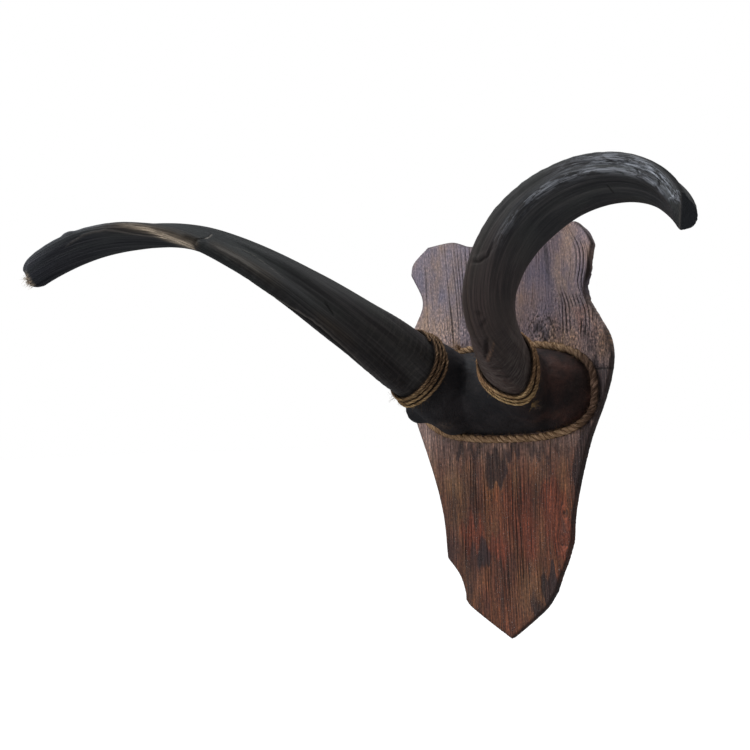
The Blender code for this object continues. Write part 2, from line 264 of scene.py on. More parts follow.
def easeBetween(low, high, value):
    part = np.clip((value - low) / (high - low), 0.0, 1.0)
    return part * part * (3 - 2 * part)


def unit(rows):
    return rows / np.maximum(np.linalg.norm(rows, axis=-1, keepdims=True), 1e-12)


def lengthAlong(path):
    # how far along its path each point lies
    return np.concatenate(([0.0], np.cumsum(np.linalg.norm(np.diff(path, axis=0), axis=1))))


def onFace(x, z):
    # points on a plane that faces forward, from their places across and up
    return np.stack([x, np.zeros(len(x)), z], axis=-1)


def gridMesh(name, across, up):
    # a flat grid with across by up faces, and each point's share of the way across and up
    work = bmesh.new()
    bmesh.ops.create_grid(work, x_segments=across, y_segments=up, size=1.0)
    mesh = bpy.data.meshes.new(name)
    work.to_mesh(mesh)
    work.free()
    flat = np.empty(len(mesh.vertices) * 3)
    mesh.vertices.foreach_get("co", flat)
    places = flat.reshape(-1, 3)
    return mesh, (places[:, 0] + 1) / 2, (places[:, 1] + 1) / 2


def placePoints(mesh, points):
    mesh.vertices.foreach_set("co", points.astype(np.float32).ravel())
    mesh.update()


def storeValues(mesh, name, values):
    kind = "FLOAT_VECTOR" if values.ndim == 2 else "FLOAT"
    layer = mesh.attributes.new(name, kind, "POINT")
    key = "vector" if values.ndim == 2 else "value"
    layer.data.foreach_set(key, values.astype(np.float32).ravel())


def weld(mesh, distance=1e-6):
    # closes the seam where a rolled grid meets itself, and the poles at its ends
    work = bmesh.new()
    work.from_mesh(mesh)
    bmesh.ops.remove_doubles(work, verts=work.verts[:], dist=distance)
    bmesh.ops.recalc_face_normals(work, faces=work.faces[:])
    work.to_mesh(mesh)
    work.free()


def joinMeshes(name, meshes):
    work = bmesh.new()
    for mesh in meshes:
        work.from_mesh(mesh)
    joined = bpy.data.meshes.new(name)
    work.to_mesh(joined)
    work.free()
    return joined


def addPiece(name, mesh, paint, slot, *replaced):
    mesh.materials.clear()
    mesh.materials.append(paint.material)
    mesh.shade_smooth()
    made = bpy.data.objects.new(name, mesh)
    bpy.context.scene.collection.objects.link(made)
    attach(made, "root")
    if replaced:
        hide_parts(*replaced)
    triangles = sum(len(face.vertices) - 2 for face in mesh.polygons)
    print(name, len(mesh.vertices), "points", triangles, "triangles")


# The line of each horn

hornLines = {
    "right": {
        "side": 1,
        "route": ((45, -95, 20), (63, -172, 45), (92, -233, 86), (159, -266, 132), (238, -297, 137),
                  (276, -314, 111), (292, -349, 87)),
        "twist": (30, -5, -55, -98, -109, -115),
        "tipRound": 0.002,
        "tipFlat": 0.88,
        "wrap": (-0.006, 0.006, 260),
    },
    "left": {
        "side": -1,
        "route": ((49, -98, 20), (53, -170, 46), (102, -229, 99), (159, -273, 140), (205, -289, 152),
                  (267, -333, 144), (294, -363, 110)),
        "twist": (28, -7, -30, -49, -87, -128),
        "tipRound": 0.015,
        "tipFlat": 0.45,
        "wrap": (0.0068, 0.0065, -6),
    },
}

hornForm = {
    "breadth": ((0.0, 62), (0.12, 62), (0.3, 58), (0.45, 54), (0.6, 48), (0.75, 42), (0.9, 34), (1.0, 27)),
    "thickness": ((0.0, 47), (0.12, 43), (0.3, 36), (0.45, 30), (0.6, 23), (0.75, 19.5), (0.9, 17.5),
                  (1.0, 15)),
    "rootDepth": 0.026,
    "keelThinning": 0.26,
    "hollow": 0.28,
    "hollowCentre": -0.48,
    "hollowSpread": 0.34,
    "keelWear": 0.004,
    "keelWaves": ((410, 0.0), (173, 1.3), (689, 0.4)),
    "keelSharpness": 6,
    "wearStartsOver": 0.02,
    "tipTurn": 0.44 * math.pi,
}


def splinePoint(points, share):
    # a point on the clamped cubic B-spline through the route's control points
    spans = len(points) - 3
    place = min(max(share, 0.0), 1.0 - 1e-9) * spans
    span = int(place)
    knots = [min(max(index - 3, 0), spans) for index in range(len(points) + 4)]
    work = [Vector(points[span + index]) for index in range(4)]
    for level in range(1, 4):
        for index in range(3, level - 1, -1):
            low = knots[index + span]
            high = knots[index + 4 - level + span]
            work[index] = work[index - 1].lerp(work[index], (place - low) / (high - low))
    return work[3]


def smoothTable(rows, share):
    # a smooth value through rows of share and value
    places, values = (np.array(column, float) for column in zip(*rows))
    low = np.maximum(np.arange(len(rows)) - 1, 0)
    high = np.minimum(np.arange(len(rows)) + 1, len(rows) - 1)
    slopes = (values[high] - values[low]) / (places[high] - places[low])
    index = np.clip(np.searchsorted(places, share) - 1, 0, len(rows) - 2)
    width = places[index + 1] - places[index]
    part = (share - places[index]) / width
    rise = part * part * (3 - 2 * part)
    lead = part * (1 - part) ** 2 * slopes[index] * width
    lag = part * part * (part - 1) * slopes[index + 1] * width
    return values[index] + (values[index + 1] - values[index]) * rise + lead + lag


class HornLine:
    samples = 400

    def __init__(self, setup):
        self.side = setup["side"]
        self.tipRound = setup["tipRound"]
        self.tipFlat = setup["tipFlat"]
        self.wrap = setup["wrap"]
        count = len(setup["twist"]) - 1
        self.twist = [(index / count, angle) for index, angle in enumerate(setup["twist"])]
        order = np.arange(self.samples + 1)
        self.points = np.array([splinePoint(setup["route"], step / self.samples) * mm for step in order])
        self.places = lengthAlong(self.points)
        self.length = self.places[-1]
        low = np.maximum(order - 1, 0)
        high = np.minimum(order + 1, self.samples)
        self.along = unit(self.points[high] - self.points[low])
        ups = []
        up = np.array((0.0, 0.0, 1.0))
        for direction in self.along:
            up = unit(up - direction * up.dot(direction))
            ups.append(up)
        self.ups = np.array(ups)

    def read(self, table, distance):
        return np.stack([np.interp(distance, self.places, table[:, axis]) for axis in range(3)], axis=-1)

    # centre, and the directions of breadth and thickness, at each distance from the twine
    def frameAt(self, distance):
        inside = np.clip(distance, 0.0, self.length)
        along = unit(self.read(self.along, inside))
        up = unit(self.read(self.ups, inside))
        centre = self.read(self.points, inside) + along * np.minimum(distance, 0.0)[..., None]
        angle = np.radians(smoothTable(self.twist, inside / self.length))[..., None]
        across = np.cross(along, up)
        breadth = up * np.cos(angle) + across * np.sin(angle)
        thickness = across * np.cos(angle) - up * np.sin(angle)
        return centre, breadth, thickness

    def halfSizes(self, distance):
        share = np.clip(distance / self.length, 0.0, 1.0)
        breadth = smoothTable(hornForm["breadth"], share) * mm / 2
        thickness = smoothTable(hornForm["thickness"], share) * mm / 2
        return breadth, thickness

    # the offset from the centre line of the section's outline
    def section(self, angle, distance, detail, sizeFrom=None):
        form = hornForm
        centre, breadth, thickness = self.frameAt(distance)
        halfBreadth, halfThickness = self.halfSizes(distance if sizeFrom is None else sizeFrom)
        across = np.cos(angle)
        deep = np.sin(angle) * (1 + form["keelThinning"] * across)
        spread = (across - form["hollowCentre"]) / form["hollowSpread"]
        deep = np.where(deep > 0, deep * (1 - detail * form["hollow"] * np.exp(-spread * spread)), deep)
        wave = sum(np.sin(distance * pitch + start) for pitch, start in form["keelWaves"])
        edge = np.maximum(-across, 0.0) ** form["keelSharpness"]
        across = across * (1 + detail * form["keelWear"] * wave * edge)
        offset = breadth * (across * halfBreadth)[..., None] + thickness * (deep * halfThickness)[..., None]
        return centre, offset

    def inPlace(self, points):
        return points * np.array((self.side, 1.0, 1.0))

    # how far along a point of the wrapping lies, which sits at a tilt and straightens down the sleeve
    def askew(self, distance, angle):
        moved, tilt, farthest = self.wrap
        follows = np.clip(1 + (distance + 0.012) / 0.045, 0.0, 1.0)
        return distance + (moved + tilt * np.cos(angle - math.radians(farthest))) * follows

    def distanceAhead(self, points):
        return (self.inPlace(points) - self.points[0]) @ self.along[0] - self.wrap[0] + self.wrap[1]


lines = {name: HornLine(setup) for name, setup in hornLines.items()}


# The horns

hornSetup = {
    "around": 168,
    "bodyStep": 0.00115,
    "rootRows": 3,
    "tipRows": 12,
    "capRows": 12,
    "wayRadius": 0.03,
    "keelWidth": 17,
    # unevenness of the whole surface, and of the keel
    "uneven": ((0.0007, (55, 55, 22), 3.1), (0.0003, (330, 330, 9), 11.3), (0.00014, (900, 900, 26), 27.9)),
    "chipped": 0.00016,
    "chips": ((1.0, (0, 0, 90), 71.0), (0.5, (0, 0, 330), 83.0)),
    "ribs": {"height": 0.00055, "pitch": 0.0052, "full": 0.04, "reach": 0.12, "tilt": 0.0018,
             "sharpness": 0.6, "level": 0.6, "keelFade": 0.8, "wander": ((0.006, (60, 60, 20), 41.0),),
             "least": 0.5, "patchy": ((1.2, (90, 90, 40), 53.0),)},
    "flakedGrey": 0.85,
}

# The right end is cut in two slopes
cutSetup = {
    "across": (0.835, 0.549, -0.031),
    # how far back it starts, where its slopes meet and lean, how steep they are, how round the near one is
    "back": 0.0050,
    "meet": -0.0027,
    "lean": 0.10,
    "nearSlope": 0.80,
    "farSlope": 0.78,
    "round": 0.0015,
    "reach": 0.030,
    "softness": 0.00004,
    # the side next to it is slimmer, fuller below and levelled at the bottom
    "shapedOver": (-0.024, -0.008),
    "slim": 0.0016,
    "slimOver": 0.006,
    "fuller": 0.0008,
    "fullerBelow": (0.002, 0.008),
    "bottom": -0.0119,
    "levelled": 0.85,
    # fibres that stand in rows on the far slope, and a paler edge between the two
    "relief": 0.0004,
    "rowsAcross": 1300,
    "rowsDown": 120,
    "fibreStart": 97.0,
    "edgeLight": 0.25,
    "edgeWidth": 0.0008,
    # how each of these fades in, by the distance past the cut and across it
    "farFades": ((-0.0003, 0.0001), (-0.0003, 0.0003)),
    "nearFades": ((-0.0015, 0.0), (-0.0006, 0.0)),
    "edgeFade": (-0.0012, 0.0),
    "flakedAbove": (0.003, 0.009),
    "roundOver": (0.0, 0.003),
}

# The left tip is fuller and longer at one corner, where fibres split off
cornerSetup = {
    "angle": 282,
    "fuller": 0.60,
    "fullerWidth": 48,
    "longer": 0.0044,
    "longerAngle": 292,
    "longerWidth": 42,
    "longerEverywhere": 0.15,
    "tan": 0.8,
    "tanWidth": 30,
    # how far from the end it turns tan, and from which share of the tip's size outwards
    "tanFrom": (0.004, 0.001),
    "tanOutside": (0.25, 0.50),
    "splinters": {"count": 110, "spread": 15, "reach": 0.0052, "shortest": 0.45, "thickness": 0.00014,
                  "rooted": 0.80, "forward": 0.75, "sunk": 0.0010, "outward": 0.4, "scatter": 0.20},
}

# Ridges that run along a horn: where round the section in degrees, how high, how wide, and their reach
hornRidges = {
    "right": (
        {"angle": 238, "height": 0.0026, "width": 14, "reach": (0.36, 0.50, 0.93, 1.02)},
        {"angle": 214, "height": -0.0009, "width": 10, "reach": (0.50, 0.62, 0.90, 1.0)},
        {"angle": 270, "height": -0.0017, "width": 18, "reach": (0.30, 0.48, 0.88, 1.0)},
        {"angle": 194, "height": -0.0012, "width": 12, "reach": (0.12, 0.20, 0.34, 0.42)},
        {"angle": 250, "height": 0.0012, "width": 12, "reach": (0.06, 0.15, 0.34, 0.46)},
    ),
    "left": (
        {"angle": 128, "height": 0.0010, "width": 8, "reach": (0.30, 0.40, 0.56, 0.62)},
        {"angle": 104, "height": -0.0007, "width": 11, "reach": (0.22, 0.32, 0.50, 0.60)},
        {"angle": 205, "height": 0.0010, "width": 16, "reach": (0.60, 0.66, 0.84, 0.94)},
        {"angle": 250, "height": -0.0012, "width": 18, "reach": (0.60, 0.70, 0.90, 1.0)},
        {"angle": 180, "height": -0.0030, "width": 17, "reach": (0.594, 0.602, 0.607, 0.630)},
    ),
}

# Patches by kind, of wear and of painted highlight and shade: where round the section in degrees, how wide,
# their reach along it, how strong.
# An angle or a width of four values goes from the first to the second between two shares of the length.
hornWear = {
    "right": {
        "grey": ({"angle": 208, "width": (22, 15, 0.84, 0.92), "reach": (0.62, 0.84, 0.985, 1.01),
                  "strength": 1.0},),
        # a painted highlight along the right horn's ridge, in the grey of the worn flakes
        "ridgeHighlight": ({"angle": 238, "width": 7, "reach": (0.45, 0.6, 0.9, 1.0), "strength": 0.55},),
        "brown": ({"angle": 184, "width": 15, "reach": (0.22, 0.30, 0.40, 0.46), "strength": 0.30},
                  {"angle": 222, "width": 16, "reach": (0.10, 0.17, 0.23, 0.30), "strength": 0.22}),
        "tan": (),
        # painted shade on the top of the right tip, which darkens the lamps' sheen there
        "dark": ({"angle": 160, "width": 26, "reach": (0.80, 0.90, 1.0, 1.1), "strength": 0.9},),
    },
    "left": {
        "grey": ({"angle": 170, "width": 15, "reach": (0.78, 0.86, 1.0, 1.1), "strength": 0.5},),
        "ridgeHighlight": (),
        "brown": ({"angle": 192, "width": 34, "reach": (0.585, 0.60, 0.74, 0.86), "strength": 0.55},
                  {"angle": 146, "width": 22, "reach": (0.38, 0.46, 0.56, 0.585), "strength": 0.32},
                  {"angle": 146, "width": 16, "reach": (0.20, 0.25, 0.29, 0.34), "strength": 0.30}),
        "tan": ({"angle": (236, 190, 0.63, 0.76), "width": (27, 16, 0.62, 0.71),
                 "reach": (0.60, 0.612, 0.67, 0.80), "strength": 1.0},),
        "dark": (),
    },
}

# How a mark is drawn: the step along its path, how it wobbles, how its ends taper and how wide its core is
markForm = {
    "step": 0.0006,
    "wobble": 0.0005,
    "wobblesPerMetre": 260,
    "searched": 0.03,
    "taper": 0.35,
    "core": 0.15,
    "crackDeeperThan": 0.0004,
    "crackWidth": 0.0013,
}

# Marks on the horns: a path of shares of the length and degrees round the section, how deep, how wide,
# and how much lighter or how tan the horn is there
hornMarks = {
    "right": (
        {"path": ((0.432, 198), (0.438, 214), (0.455, 229), (0.488, 232)), "depth": 0.0015, "wide": 0.0018},
        {"path": ((0.440, 196), (0.446, 212), (0.462, 224)), "depth": -0.0007, "wide": 0.0026},
        {"path": ((0.838, 222), (0.850, 234)), "depth": 0.0009, "wide": 0.0014},
        {"path": ((0.905, 220), (0.920, 232)), "depth": 0.0008, "wide": 0.0013},
        {"path": ((0.757, 274), (0.766, 290)), "depth": 0.0005, "wide": 0.0012},
        {"path": ((0.690, 203), (0.780, 212), (0.870, 208)), "depth": 0.0005, "wide": 0.0009},
        {"path": ((0.740, 219), (0.800, 224), (0.880, 217)), "depth": 0.0005, "wide": 0.0009},
        {"path": ((0.252, 214), (0.226, 201), (0.196, 183)), "depth": 0.0026, "wide": 0.0034},
        {"path": ((0.232, 224), (0.220, 214), (0.204, 199), (0.186, 179)), "depth": -0.0008, "wide": 0.0032,
         "tan": 0.34},
        {"path": ((0.304, 228), (0.292, 218)), "depth": 0.0011, "wide": 0.0040},
        {"path": ((0.330, 214), (0.322, 224)), "depth": 0.0009, "wide": 0.0034},
        {"path": ((0.160, 176), (0.150, 196)), "depth": 0.0009, "wide": 0.0034},
        {"path": ((0.120, 172), (0.108, 190)), "depth": 0.0008, "wide": 0.0032},
    ),
    "left": (
        {"path": ((0.586, 106), (0.586, 124), (0.590, 144), (0.600, 172), (0.603, 204)),
         "depth": 0.0012, "wide": 0.0018},
        {"path": ((0.583, 106), (0.584, 128), (0.586, 138)), "depth": -0.0005, "wide": 0.0011,
         "light": 1.6},
        {"path": ((0.312, 110), (0.298, 114), (0.286, 119)), "depth": 0.0010, "wide": 0.0013},
        {"path": ((0.530, 110), (0.492, 106), (0.452, 112), (0.412, 118)), "depth": -0.0003,
         "wide": 0.0008, "light": 0.30},
        {"path": ((0.555, 150), (0.505, 144), (0.460, 148)), "depth": -0.0002, "wide": 0.0030,
         "light": 0.22},
        {"path": ((0.500, 234), (0.418, 207), (0.371, 189), (0.331, 174), (0.298, 169), (0.261, 171),
                  (0.224, 172), (0.174, 176), (0.120, 178)), "depth": -0.0010, "wide": 0.0016,
         "light": 0.30},
        {"path": ((0.490, 248), (0.418, 218), (0.371, 200), (0.331, 185), (0.298, 180), (0.261, 182),
                  (0.224, 183), (0.174, 188)), "depth": 0.0011, "wide": 0.0024},
        {"path": ((0.900, 234), (0.853, 217), (0.806, 214), (0.759, 228), (0.722, 234), (0.682, 232),
                  (0.645, 237), (0.618, 240)), "depth": -0.0009, "wide": 0.0014, "light": 0.35},
        {"path": ((0.860, 200), (0.800, 196), (0.720, 206), (0.640, 212)), "depth": 0.0004, "wide": 0.0008},
        {"path": ((0.760, 186), (0.700, 190), (0.630, 196)), "depth": 0.0004, "wide": 0.0008},
        {"path": ((0.892, 158), (0.878, 172)), "depth": -0.0015, "wide": 0.0040},
    ),
}


def bandOver(share, reach):
    return easeBetween(reach[0], reach[1], share) * (1 - easeBetween(reach[2], reach[3], share))


def angleFrom(angle, middle):
    # signed degrees from the middle, by the short way round
    return (np.degrees(angle) - middle + 180) % 360 - 180


def varied(value, share):
    # a plain number, or one that changes along the horn
    if not isinstance(value, tuple):
        return value
    first, second, start, end = value
    return first + (second - first) * easeBetween(start, end, share)


def bell(angle, middle, width):
    # 1 at an angle round the section, and less to both sides
    near = angleFrom(angle, middle) / width
    return np.exp(-near * near)


def patchAt(patch, angle, share):
    seen = bell(angle, varied(patch["angle"], share), varied(patch["width"], share))
    return seen * bandOver(share, patch["reach"])


def strongest(patches, angle, share):
    found = np.zeros(len(share))
    for patch in patches:
        found = np.maximum(found, patch["strength"] * patchAt(patch, angle, share))
    return found


def rowPlan(line):
    # how far along and how wide each ring of the horn is, from the closed root to the closed cut
    setup, form = hornSetup, hornForm
    start = -form["rootDepth"]
    rows = [(start, (index + 0.02) / setup["rootRows"]) for index in range(setup["rootRows"])]
    end = line.length - line.tipRound
    count = round((end - start) / setup["bodyStep"])
    rows += [(start + (end - start) * index / count, 1.0) for index in range(count + 1)]
    flat = line.tipFlat
    for index in range(1, setup["tipRows"] + 1):
        turn = form["tipTurn"] * index / setup["tipRows"]
        rows.append((end + line.tipRound * math.sin(turn), flat + (1 - flat) * math.cos(turn)))
    lastDistance, lastScale = rows[-1]
    for index in range(1, setup["capRows"] + 1):
        rows.append((lastDistance, lastScale * (1 - index / setup["capRows"])))
    return np.array(rows)


def markCloseness(line, points, share, mark):
    # 1 on the mark's path, and 0 at its width from it
    form = markForm
    shares, degrees = (np.array(column) for column in zip(*mark["path"]))
    count = max(12, round(np.ptp(shares) * line.length / form["step"]))
    steps = np.linspace(0, 1, count)
    turns = np.linspace(0, 1, len(shares))
    angle = np.radians(np.interp(steps, turns, degrees))
    centre, offset = line.section(angle, np.interp(steps, turns, shares) * line.length, 1.0)
    trail = centre + offset
    wobble = [noiseOver(trail, form["wobblesPerMetre"], shift) for shift in (1.0, 5.0, 9.0)]
    trail += form["wobble"] * np.stack(wobble, axis=-1)
    low, high = shares.min() - form["searched"], shares.max() + form["searched"]
    near = np.flatnonzero((share > low) & (share < high))
    found = np.zeros(len(near))
    wide = mark["wide"]
    for index, spot in enumerate(trail):
        taper = math.sin(math.pi * (index + 1) / (count + 1)) ** form["taper"]
        away = np.linalg.norm(points[near] - spot, axis=1)
        found = np.maximum(found, taper * (1 - easeBetween(wide * form["core"], wide, away)))
    closeness = np.zeros(len(points))
    closeness[near] = found
    return closeness


def surfaceLift(name, way, angle, distance, share):
    # how far the surface stands out from the plain section
    setup, ribs = hornSetup, hornSetup["ribs"]
    lift = layeredNoise(way, setup["uneven"])
    keel = bell(angle, 180, setup["keelWidth"])
    phase = distance + layeredNoise(way, ribs["wander"]) + ribs["tilt"] * np.cos(angle)
    fade = (1 - easeBetween(ribs["full"], ribs["reach"], distance)) * (1 - ribs["keelFade"] * keel)
    rib = np.abs(np.sin(math.pi * phase / ribs["pitch"])) ** ribs["sharpness"]
    patchy = ribs["least"] + layeredNoise(way, ribs["patchy"])
    lift += ribs["height"] * (rib - ribs["level"]) * fade * patchy
    for ridge in hornRidges[name]:
        lift += ridge["height"] * patchAt(ridge, angle, share)
    return lift + keel * setup["chipped"] * layeredNoise(way, setup["chips"])


def cutEnd(line, points, distance):
    # cuts the end in two slopes, and says where the far slope, the near one, its flakes and the edge lie
    cut = cutSetup
    tip = line.along[-1]
    acrossTip = unit(np.array(cut["across"]) - tip * tip.dot(cut["across"]))
    upTip = np.cross(tip, acrossTip)
    fromEnd = points - line.points[-1]
    sideways = fromEnd @ acrossTip
    level = fromEnd @ upTip
    nearEnd = easeBetween(*cut["shapedOver"], fromEnd @ tip)
    shaped = cut["fuller"] * easeBetween(*cut["fullerBelow"], -level) - cut["slim"]
    shaped = shaped * easeBetween(0.0, cut["slimOver"], sideways) * nearEnd
    raised = cut["levelled"] * np.maximum(cut["bottom"] - level, 0.0) * nearEnd
    points += acrossTip * shaped[:, None] + upTip * raised[:, None]
    aside = sideways + shaped - cut["meet"] + cut["lean"] * level
    slopes = cut["nearSlope"] * np.maximum(-aside, 0) + cut["farSlope"] * np.maximum(aside, 0)
    beyond = np.where(distance > line.length - cut["reach"], fromEnd @ tip + cut["back"] + slopes, -1.0)
    past, over = cut["farFades"]
    farSlope = easeBetween(*past, beyond) * easeBetween(*over, aside)
    past, over = cut["nearFades"]
    nearSlope = easeBetween(*past, beyond) * (1 - easeBetween(*over, aside))
    flaked = nearSlope * easeBetween(*cut["flakedAbove"], level)
    edge = cut["edgeLight"] * easeBetween(*cut["edgeFade"], beyond)
    edge *= np.exp(-(aside / cut["edgeWidth"]) ** 2)
    fibres = np.stack([aside * cut["rowsAcross"], level * cut["rowsDown"], np.zeros(len(aside))], axis=-1)
    relief = cut["relief"] * noiseOver(fibres, 1.0, cut["fibreStart"]) * farSlope
    soft = cut["softness"] + cut["round"] * easeBetween(*cut["roundOver"], -aside)
    points -= tip * (np.logaddexp(0.0, beyond / soft) * soft - relief)[:, None]
    return farSlope, nearSlope, flaked, edge


def makeHorn(name, paint):
    setup, corner = hornSetup, cornerSetup
    line = lines[name]
    rows = rowPlan(line)
    mesh, around, up = gridMesh("horn_" + name, setup["around"], len(rows) - 1)
    distance, scale = rows[np.rint(up * (len(rows) - 1)).astype(int)].T
    angle = around * 2 * math.pi
    share = distance / line.length
    detail = np.clip(distance / hornForm["wearStartsOver"], 0.0, 1.0)
    blunt = name == "left"
    if blunt:
        fuller = 1 + corner["fuller"] * bell(angle, corner["angle"], corner["fullerWidth"])
        scale = np.where(distance > line.length - line.tipRound, np.minimum(scale * fuller, 1.0), scale)
    centre, offset = line.section(angle, distance, detail)
    smooth = centre + offset * scale[:, None]
    radius = setup["wayRadius"]
    way = np.stack([np.cos(angle) * radius, np.sin(angle) * radius, distance], axis=-1)

    lift = surfaceLift(name, way, angle, distance, share)
    crackAndShade, light, tan, cutFace, nearSlope, flaked = np.zeros((6, len(distance)))
    for mark in hornMarks[name]:
        closeness = markCloseness(line, smooth, share, mark) * detail
        lift -= mark["depth"] * closeness
        if mark["depth"] > markForm["crackDeeperThan"]:
            crackAndShade = np.maximum(crackAndShade, closeness * min(1.0, markForm["crackWidth"] / mark["wide"]))
        light = np.maximum(light, closeness * mark.get("light", 0.0))
        tan = np.maximum(tan, closeness * mark.get("tan", 0.0))
    body = easeBetween(0.0, 0.5, scale) * detail
    points = smooth + unit(offset) * (lift * body)[:, None]

    if blunt:
        longer = corner["longer"] * easeBetween(line.length - line.tipRound, line.length, distance)
        cornered = bell(angle, corner["longerAngle"], corner["longerWidth"]) * np.clip(scale * 2, 0.0, 1.0)
        longer *= corner["longerEverywhere"] + (1 - corner["longerEverywhere"]) * cornered
        points += line.along[-1] * longer[:, None]
        atTip = easeBetween(*(line.length - far for far in corner["tanFrom"]), distance)
        tan = corner["tan"] * atTip * easeBetween(*corner["tanOutside"], scale)
        tan *= bell(angle, corner["angle"], corner["tanWidth"])
    else:
        cutFace, nearSlope, flaked, edge = cutEnd(line, points, distance)
        light = np.maximum(light, edge)
    placePoints(mesh, line.inPlace(points))

    wear = {kind: strongest(patches, angle, share) for kind, patches in hornWear[name].items()}
    # the painted shade on the top of the right tip is drawn dark together with the cracks
    crackAndShade = np.maximum(crackAndShade, wear["dark"] * (1 - cutFace))
    grey = np.maximum(wear["grey"] * (1 - nearSlope), setup["flakedGrey"] * flaked)
    # the grey also holds the painted highlight along the right horn's ridge
    grey = np.maximum(grey, wear["ridgeHighlight"])
    tan = np.maximum(tan, wear["tan"])
    storeValues(mesh, "way", way * np.stack([scale, scale, np.ones(len(scale))], axis=-1))
    storeValues(mesh, "wear", np.stack([grey, wear["brown"], tan], axis=-1))
    storeValues(mesh, "mark", np.stack([crackAndShade, light, cutFace], axis=-1))
    weld(mesh)
    if blunt:
        mesh = joinMeshes("horn_left", [mesh, splinterMesh(line)])
    addPiece("goatHorn_" + name, mesh, paint, "keratin", "horn_" + name)


def splinterMesh(line):
    # fibres that split off at the fuller corner of the tip
    corner, splinters = cornerSetup, cornerSetup["splinters"]
    count = splinters["count"]
    angle = np.radians(corner["angle"] + draws.normal(size=count) * splinters["spread"])
    centre, offset = line.section(angle, np.full(count, line.length), 1.0)
    tip = line.along[-1]
    forward = corner["longer"] * splinters["forward"] - splinters["sunk"]
    roots = line.inPlace(centre + offset * splinters["rooted"] + tip * forward)
    scatter = draws.normal(size=(count, 3)) * splinters["scatter"]
    directions = line.inPlace(unit(unit(offset) * splinters["outward"] + tip + scatter))
    lengths = splinters["reach"] * draws.uniform(splinters["shortest"], 1.0, count) ** 2
    mesh = hairMesh("splinters", roots, directions, lengths, splinters["thickness"])
    blank = np.zeros((len(mesh.vertices), 3))
    storeValues(mesh, "way", blank)
    storeValues(mesh, "wear", blank + (0.0, 0.0, 1.0))
    storeValues(mesh, "mark", blank)
    return mesh


# What a horn's shade is multiplied by along its length, how warm its root and how strong its rings are,
# the shades of its tan fibres, and how dark the painted shade on its underside is
hornColors = {
    "right": {
        "along": ((0.0, (2.65, 2.15, 2.15)), (0.28, (3.30, 2.42, 2.22)), (0.55, (1.85, 1.80, 1.82)),
                  (1.0, (1.65, 1.65, 1.70))),
        "warmth": 1.0,
        "rings": 1.0,
        "tan": ((0.4, (0.150, 0.080, 0.045)), (0.6, (0.420, 0.240, 0.145))),
        "undersideShade": 0.72,
        "specular": 0.24,
    },
    "left": {
        "along": ((0.0, (1.75, 1.78, 1.80)), (0.22, (1.40, 1.42, 1.43)), (0.40, (0.80, 0.83, 0.84)),
                  (0.57, (0.54, 0.60, 0.62)), (0.66, (1.15, 1.21, 1.27)), (0.82, (1.95, 2.00, 2.15)),
                  (1.0, (1.80, 1.85, 2.20))),
        "warmth": 0.22,
        "rings": 0.22,
        "tan": ((0.4, (0.260, 0.200, 0.145)), (0.6, (0.85, 0.72, 0.56))),
        "undersideShade": 1.0,
        "specular": 0.18,
    },
}


